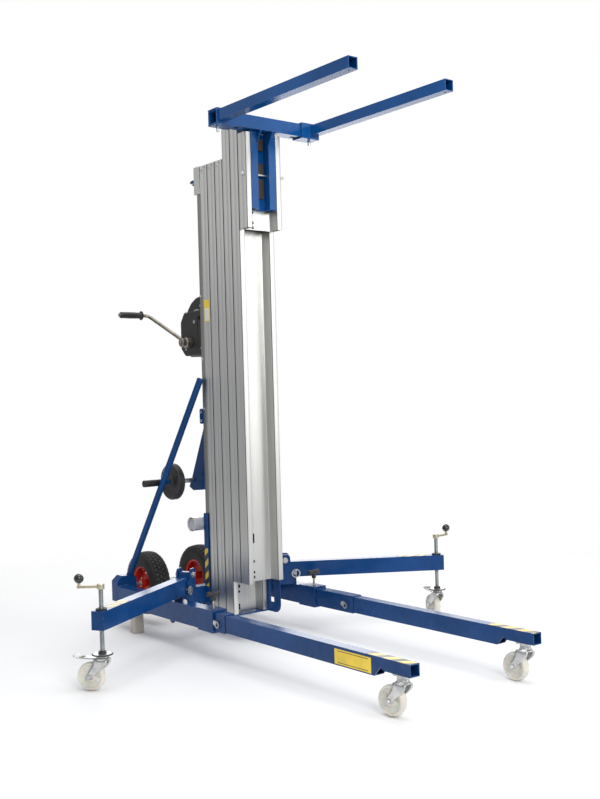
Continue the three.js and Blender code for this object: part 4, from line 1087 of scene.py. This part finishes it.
def makeWinchShell():
    # a shell of the housing's outline, a thicker gear case on its crank side, and a blue plate to the mast
    v = winchValues
    low, high = boxOf("winch_housing")
    source = pointsOf("winch_housing")
    edge = np.unique(np.round(source[source[:, 0] < low[0] + 0.001][:, 1:], 4), axis=0)
    outline = edge[geometry.convex_hull_2d([Vector(point) for point in edge])]
    outline[:, 0] = np.maximum(outline[:, 0], low[1] + v["toMast"])
    axes = ((0, 1, 0), (0, 0, 1), (1, 0, 0))
    shell = plateShape(outline, low[0] + v["step"], high[0], axes)
    makePiece("winch_shell", shell, "base", castBlack, bevel=0.005, segments=3,
              replaces=("winch_housing",))
    top = high[2] - v["caseDrop"]
    y0, y1, z0 = low[1] + 0.012, high[1] - 0.004, low[2] + 0.004
    case = np.array([(y0, z0), (y1 - 0.034, z0), (y1, z0 + 0.034), (y1, top - 0.045), (y1 - 0.030, top - 0.004),
                     (y0 + 0.02, top), (y0, top - 0.015)])
    makePiece("winch_gear_case", plateShape(case, low[0], low[0] + v["step"] + 0.001, axes), "base",
              castBlack, bevel=0.006, segments=3)
    rib = roundedRectangle(0.004, top - z0 - 0.06, 0.001, 2)
    ribs = [plateShape(rib, -0.0012, 0.0006, axes, (low[0], y, (top + z0) / 2)) for y in (y0 + 0.018, y0 + 0.05)]
    makePiece("winch_case_ribs", ribs, "base", castBlack)
    middle = (low + high) / 2
    outline = roundedRectangle(v["plateWidth"], high[2] - low[2] - 0.02, 0.006, 4)
    plate = plateShape(outline, low[1] + 0.0004, low[1] + 0.0056, ((1, 0, 0), (0, 0, 1), (0, 1, 0)),
                       (middle[0], 0, middle[2]))
    makePiece("winch_plate", plate, "base", blue, bevel=0.0008)
    mastLow, mastHigh = boxOf("mast_section_1")
    bolts = [hexShape((x, mastHigh[1] - v["railBoltY"], z), (sign, 0, 0), 0.011, 0.004)
             for z in (low[2] - 0.018, high[2] - 0.012, v["lowBoltZ"])
             for x, sign in ((mastLow[0] + 0.002, -1), (mastHigh[0] - 0.002, 1))]
    makePiece("rail_bolts", bolts, "base", zinc, bevel=0.0004)
    # a small stowing clamp on the left rail
    block = plateShape(roundedRectangle(0.026, 0.064, 0.009, 5), -0.004, 0.006, leftFace,
                       (mastLow[0] + 0.006, v["clampY"], v["clampZ"]))
    makePiece("stowing_clamp", block, "base", blue, bevel=0.002)
    studs = [turned(studHead, (mastLow[0], v["clampY"], z), (-1, 0, 0), 18) for z in v["studs"]]
    makePiece("stowing_clamp_studs", studs, "base", zinc)


makeWinchShell()
softenNode("winch_drum", brightSteel, 0.0008)
softenNode("grab_handle", blue, 0.0004, smooth=60)


def makeDocumentTube():
    # a capped tube with a thick lip at each end and a recessed lid
    low, high = boxOf("document_tube")
    x, y, z = middleOf("document_tube")
    r, length = (high[2] - low[2]) / 2, high[0] - low[0]
    profile = [(r - 0.0025, 0.012), (r - 0.0025, 0), (r, 0), (r, 0.008), (r - 0.0012, 0.010),
               (r - 0.0012, length - 0.012), (r, length - 0.010), (r, length), (0, length), (0, length - 0.003),
               (r - 0.004, length - 0.003), (r - 0.004, 0.010), (r - 0.006, 0.008), (0, 0.006)]
    makePiece("document_tube_shell", turned(profile, (low[0], y, z), (1, 0, 0), 56), "base",
              tubePlastic, smooth=40, replaces=("document_tube",))


makeDocumentTube()

cableValues = {"radius": 0.00215, "strand": 0.0003, "lay": 0.022, "step": 0.0012, "around": 24}


def makeCable():
    # six strands: radius + bump times |cos(3 (angle + full turn x height / lay))|
    v = cableValues
    low, high = boxOf("lift_cable")
    x, y = middleOf("lift_cable")[:2]
    rows, around = int((high[2] - low[2]) / v["step"]), v["around"]
    z = np.linspace(low[2], high[2], rows)[:, None]
    a = np.linspace(0, 2 * np.pi, around, endpoint=False)[None, :]
    r = v["radius"] + v["strand"] * np.abs(np.cos(3 * (a + 2 * np.pi * z / v["lay"])))
    points = np.stack([x + r * np.cos(a), y + r * np.sin(a), z + 0 * a], -1).reshape(-1, 3)
    faces = gridFaces(rows, around, False, True)
    faces += [list(range(around))[::-1], list(range((rows - 1) * around, rows * around))]
    makePiece("lift_cable_strands", (points, faces), "base", brightSteel, smooth=80,
              replaces=("lift_cable",))


makeCable()


crankValues = {"hubX": -0.07085, "faceX": -0.12035, "elbowX": -0.15235, "inHub": 0.022, "knee": 0.014,
               "rod": 0.0078}
crankHubProfile = [(0, 0), (0.0215, 0), (0.023, 0.002), (0.023, 0.026), (0.0195, 0.030), (0.0195, 0.0475),
                   (0.018, 0.0495), (0, 0.0495)]


def makeCrank():
    # hub, bent rod and turning grip of the winch crank
    v = crankValues
    turn = np.array(joints["winch_crank_turn"]["pos_m"], float)
    spin = np.array(joints["crank_grip_turn"]["pos_m"], float)
    hub = turned(crankHubProfile, (v["hubX"], turn[1], turn[2]), (-1, 0, 0), 40)
    nut = hexShape((v["faceX"], turn[1], turn[2]), (-1, 0, 0), 0.017, 0.004)
    makePiece("crank_hub", [hub, nut], "crank", rodZinc, bevel=0.0005, replaces=("winch_crank",))
    # the rod runs straight from the hub to its bend, then along the grip's axis
    reach = spin[1:] - turn[1:]
    unit = reach / np.linalg.norm(reach)
    elbow = np.array((v["elbowX"], spin[1], spin[2]))
    knee = np.array((v["faceX"] + v["inHub"], turn[1] + unit[0] * v["knee"], turn[2] + unit[1] * v["knee"]))
    tip = np.array((pointsOf("winch_crank")[:, 0].min() + 0.001, spin[1], spin[2]))
    path = np.concatenate([knee + (elbow - knee) * np.linspace(0, 1, 30)[:, None],
                           elbow + (tip - elbow) * np.linspace(0, 1, 12)[1:, None]])
    for _ in range(3):  # ease the corner between the two runs
        path[1:-1] = (path[:-2] + 2 * path[1:-1] + path[2:]) / 4
    makePiece("crank_rod", alongPath(circlePoints(v["rod"], 16), path, up), "crank", rodZinc,
              smooth=60)
    low, high = boxOf("crank_grip")
    length = high[0] - low[0]
    grip = [(0, 0), (0.0185, 0), (0.0200, 0.0012), (0.0200, 0.0040), (0.0150, 0.0065), (0.0132, 0.012),
            (0.0140, 0.040), (0.0142, 0.065), (0.0136, 0.092), (0.0140, length - 0.006),
            (0.0120, length - 0.0015), (0, length)]
    makePiece("crank_grip_turning", turned(grip, (high[0], spin[1], spin[2]), (-1, 0, 0), 40), "grip",
              blackPlastic, smooth=50, replaces=("crank_grip",))


makeCrank()


def winchDetails():
    # screws and a round plug on each side of the winch
    low, high = boxOf("winch_housing")
    front, rear = low[1] + 0.030, high[1] - 0.060
    spots = ((front, 1.215), (rear + 0.010, 1.215), (front, 1.395), (rear, 1.375))
    screws, dark = [], []
    for sign, x in ((-1, low[0]), (1, high[0])):
        screws += [hexShape((x - sign * 0.0005, y, z), (sign, 0, 0), 0.010, 0.004) for y, z in spots]
        dark.append(discShape((x, low[1] + 0.045, 1.345), (sign, 0, 0), 0.008, 0.0005, 24))
    makePiece("winch_screws", screws, "base", zinc, bevel=0.0004)
    makePiece("winch_plugs", dark, "base", darkBlockAndHoleShade)


winchDetails()


gripProfile = [(0, 0), (0.0135, 0), (0.0150, 0.0015), (0.0150, 0.092), (0.0135, 0.0945), (0.0135, 0.098),
               (0, 0.098)]
loadingHub = [(0, -0.0215), (0.024, -0.0215), (0.026, -0.019), (0.026, 0.019), (0.024, 0.0215), (0, 0.0215)]


def makeLoadingArm():
    # the loading handle keeps its bars; its grip sleeve is moulded over the bar
    softenNode("loading_arm", blue, 0.0012, smooth=40)
    centre = middleOf("loading_wheel")
    y, z = centre[1:]
    inner = boxOf("loading_wheel")[1][0]
    stub = rodShape((inner + 0.0005, y, z), (inner + 0.0855, y, z), 0.0112, 28)
    makePiece("loading_axle", stub, "base", zinc)
    grip = turned(gripProfile, (boxOf("loading_arm")[0][0] - 0.0006, y, z), (1, 0, 0), 32)
    makePiece("loading_grip", grip, "base", blackPlastic)
    softenNode("loading_wheel", blackPlastic, 0.003, smooth=40)
    makePiece("loading_wheel_hub", turned(loadingHub, centre, (1, 0, 0), 36), "loading_wheel",
              castBlack, bevel=0.0006)


makeLoadingArm()
print("winch ready")


cameraValues = {"place": (-2.50785, -3.2679, 1.0033), "azimuth": -38.33, "pitch": -0.25, "roll": -1.57,
                "lens": 47.0}


def makeCamera():
    v = cameraValues
    az, pitch, roll = (math.radians(v[key]) for key in ("azimuth", "pitch", "roll"))
    ahead = np.array((-math.sin(az) * math.cos(pitch), math.cos(az) * math.cos(pitch), math.sin(pitch)))
    across = np.array((math.cos(az), math.sin(az), 0.0))
    above = np.cross(across, ahead)
    right = math.cos(roll) * across + math.sin(roll) * above
    top = -math.sin(roll) * across + math.cos(roll) * above
    data = bpy.data.cameras.new("front")
    data.lens, data.sensor_width, data.clip_end = v["lens"], 36.0, 60.0
    camera = bpy.data.objects.new("front", data)
    bpy.context.scene.collection.objects.link(camera)
    matrix = np.eye(4)
    matrix[:3, 0], matrix[:3, 1], matrix[:3, 2], matrix[:3, 3] = right, top, -ahead, v["place"]
    camera.matrix_world = Matrix(matrix.tolist())
    bpy.context.scene.camera = camera


def makeWorld():
    # white to the camera, softer light to everything else
    world = bpy.data.worlds.new("studio")
    bpy.context.scene.world = world
    world.use_nodes = True
    tree = world.node_tree
    tree.nodes.clear()
    path = tree.nodes.new("ShaderNodeLightPath")
    room = addNode(tree, "ShaderNodeBackground", None, Color=(0.96, 0.97, 1.0, 1), Strength=0.42)
    white = addNode(tree, "ShaderNodeBackground", None, Color=(1.0, 1.0, 1.0, 1), Strength=1.0)
    mix = addNode(tree, "ShaderNodeMixShader", None, i0=path.outputs["Is Camera Ray"], i1=room.outputs[0],
                  i2=white.outputs[0])
    leave = tree.nodes.new("ShaderNodeOutputWorld")
    tree.links.new(mix.outputs[0], leave.inputs["Surface"])


def makeLight(name, place, target, size, power):
    data = bpy.data.lights.new(name, "AREA")
    data.shape, data.size, data.size_y, data.energy = "RECTANGLE", size[0], size[1], power
    light = bpy.data.objects.new(name, data)
    light.location = place
    light.rotation_euler = (Vector(place) - Vector(target)).to_track_quat("Z", "Y").to_euler()
    bpy.context.scene.collection.objects.link(light)
    light.visible_camera = False


def makeFloor():
    # a pale disc that fades to nothing before its rim
    count, radius = 64, 6.0
    mesh = bpy.data.meshes.new("floor")
    points = [(x, y, -0.0005) for x, y in circlePoints(radius, count).tolist()]
    mesh.from_pydata(points, [], [list(range(count))])
    floor = bpy.data.objects.new("floor", mesh)
    bpy.context.scene.collection.objects.link(floor)
    material, tree, shader, place = newMaterial("floorPaper", Roughness=0.75, Specular_IOR_Level=0.25)
    far = addNode(tree, "ShaderNodeVectorMath", {"operation": "LENGTH"}, i0=place).outputs["Value"]
    tree.links.new(ramp(tree, far, 3.2, 1.6), shader.inputs["Alpha"])
    grain = noiseNode(tree, place, 300.0, 3.0)
    paper = mixColour(tree, grain, (0.86, 0.86, 0.86, 1), (0.90, 0.90, 0.90, 1))
    tree.links.new(paper, shader.inputs["Base Color"])
    mesh.materials.append(material)


bpy.context.scene.view_settings.view_transform = "Standard"
makeCamera()
makeWorld()
makeFloor()
middle = (0.0, -0.1, 1.0)
makeLight("keyPanel", (2.7, -3.8, 1.9), middle, (2.4, 3.0), 52)
makeLight("frontFill", (-1.6, -4.6, 2.8), middle, (2.0, 2.0), 110)
makeLight("topPanel", (0.0, -0.4, 4.4), middle, (3.6, 3.6), 130)
makeLight("leftPanel", (-3.4, 3.6, 2.9), middle, (2.6, 2.0), 7)
makeLight("backPanel", (3.8, 4.6, 1.3), middle, (7.0, 2.6), 120)
makeLight("rearPanel", (2.5, 3.8, 2.4), middle, (2.4, 2.4), 25)

print("scene ready")
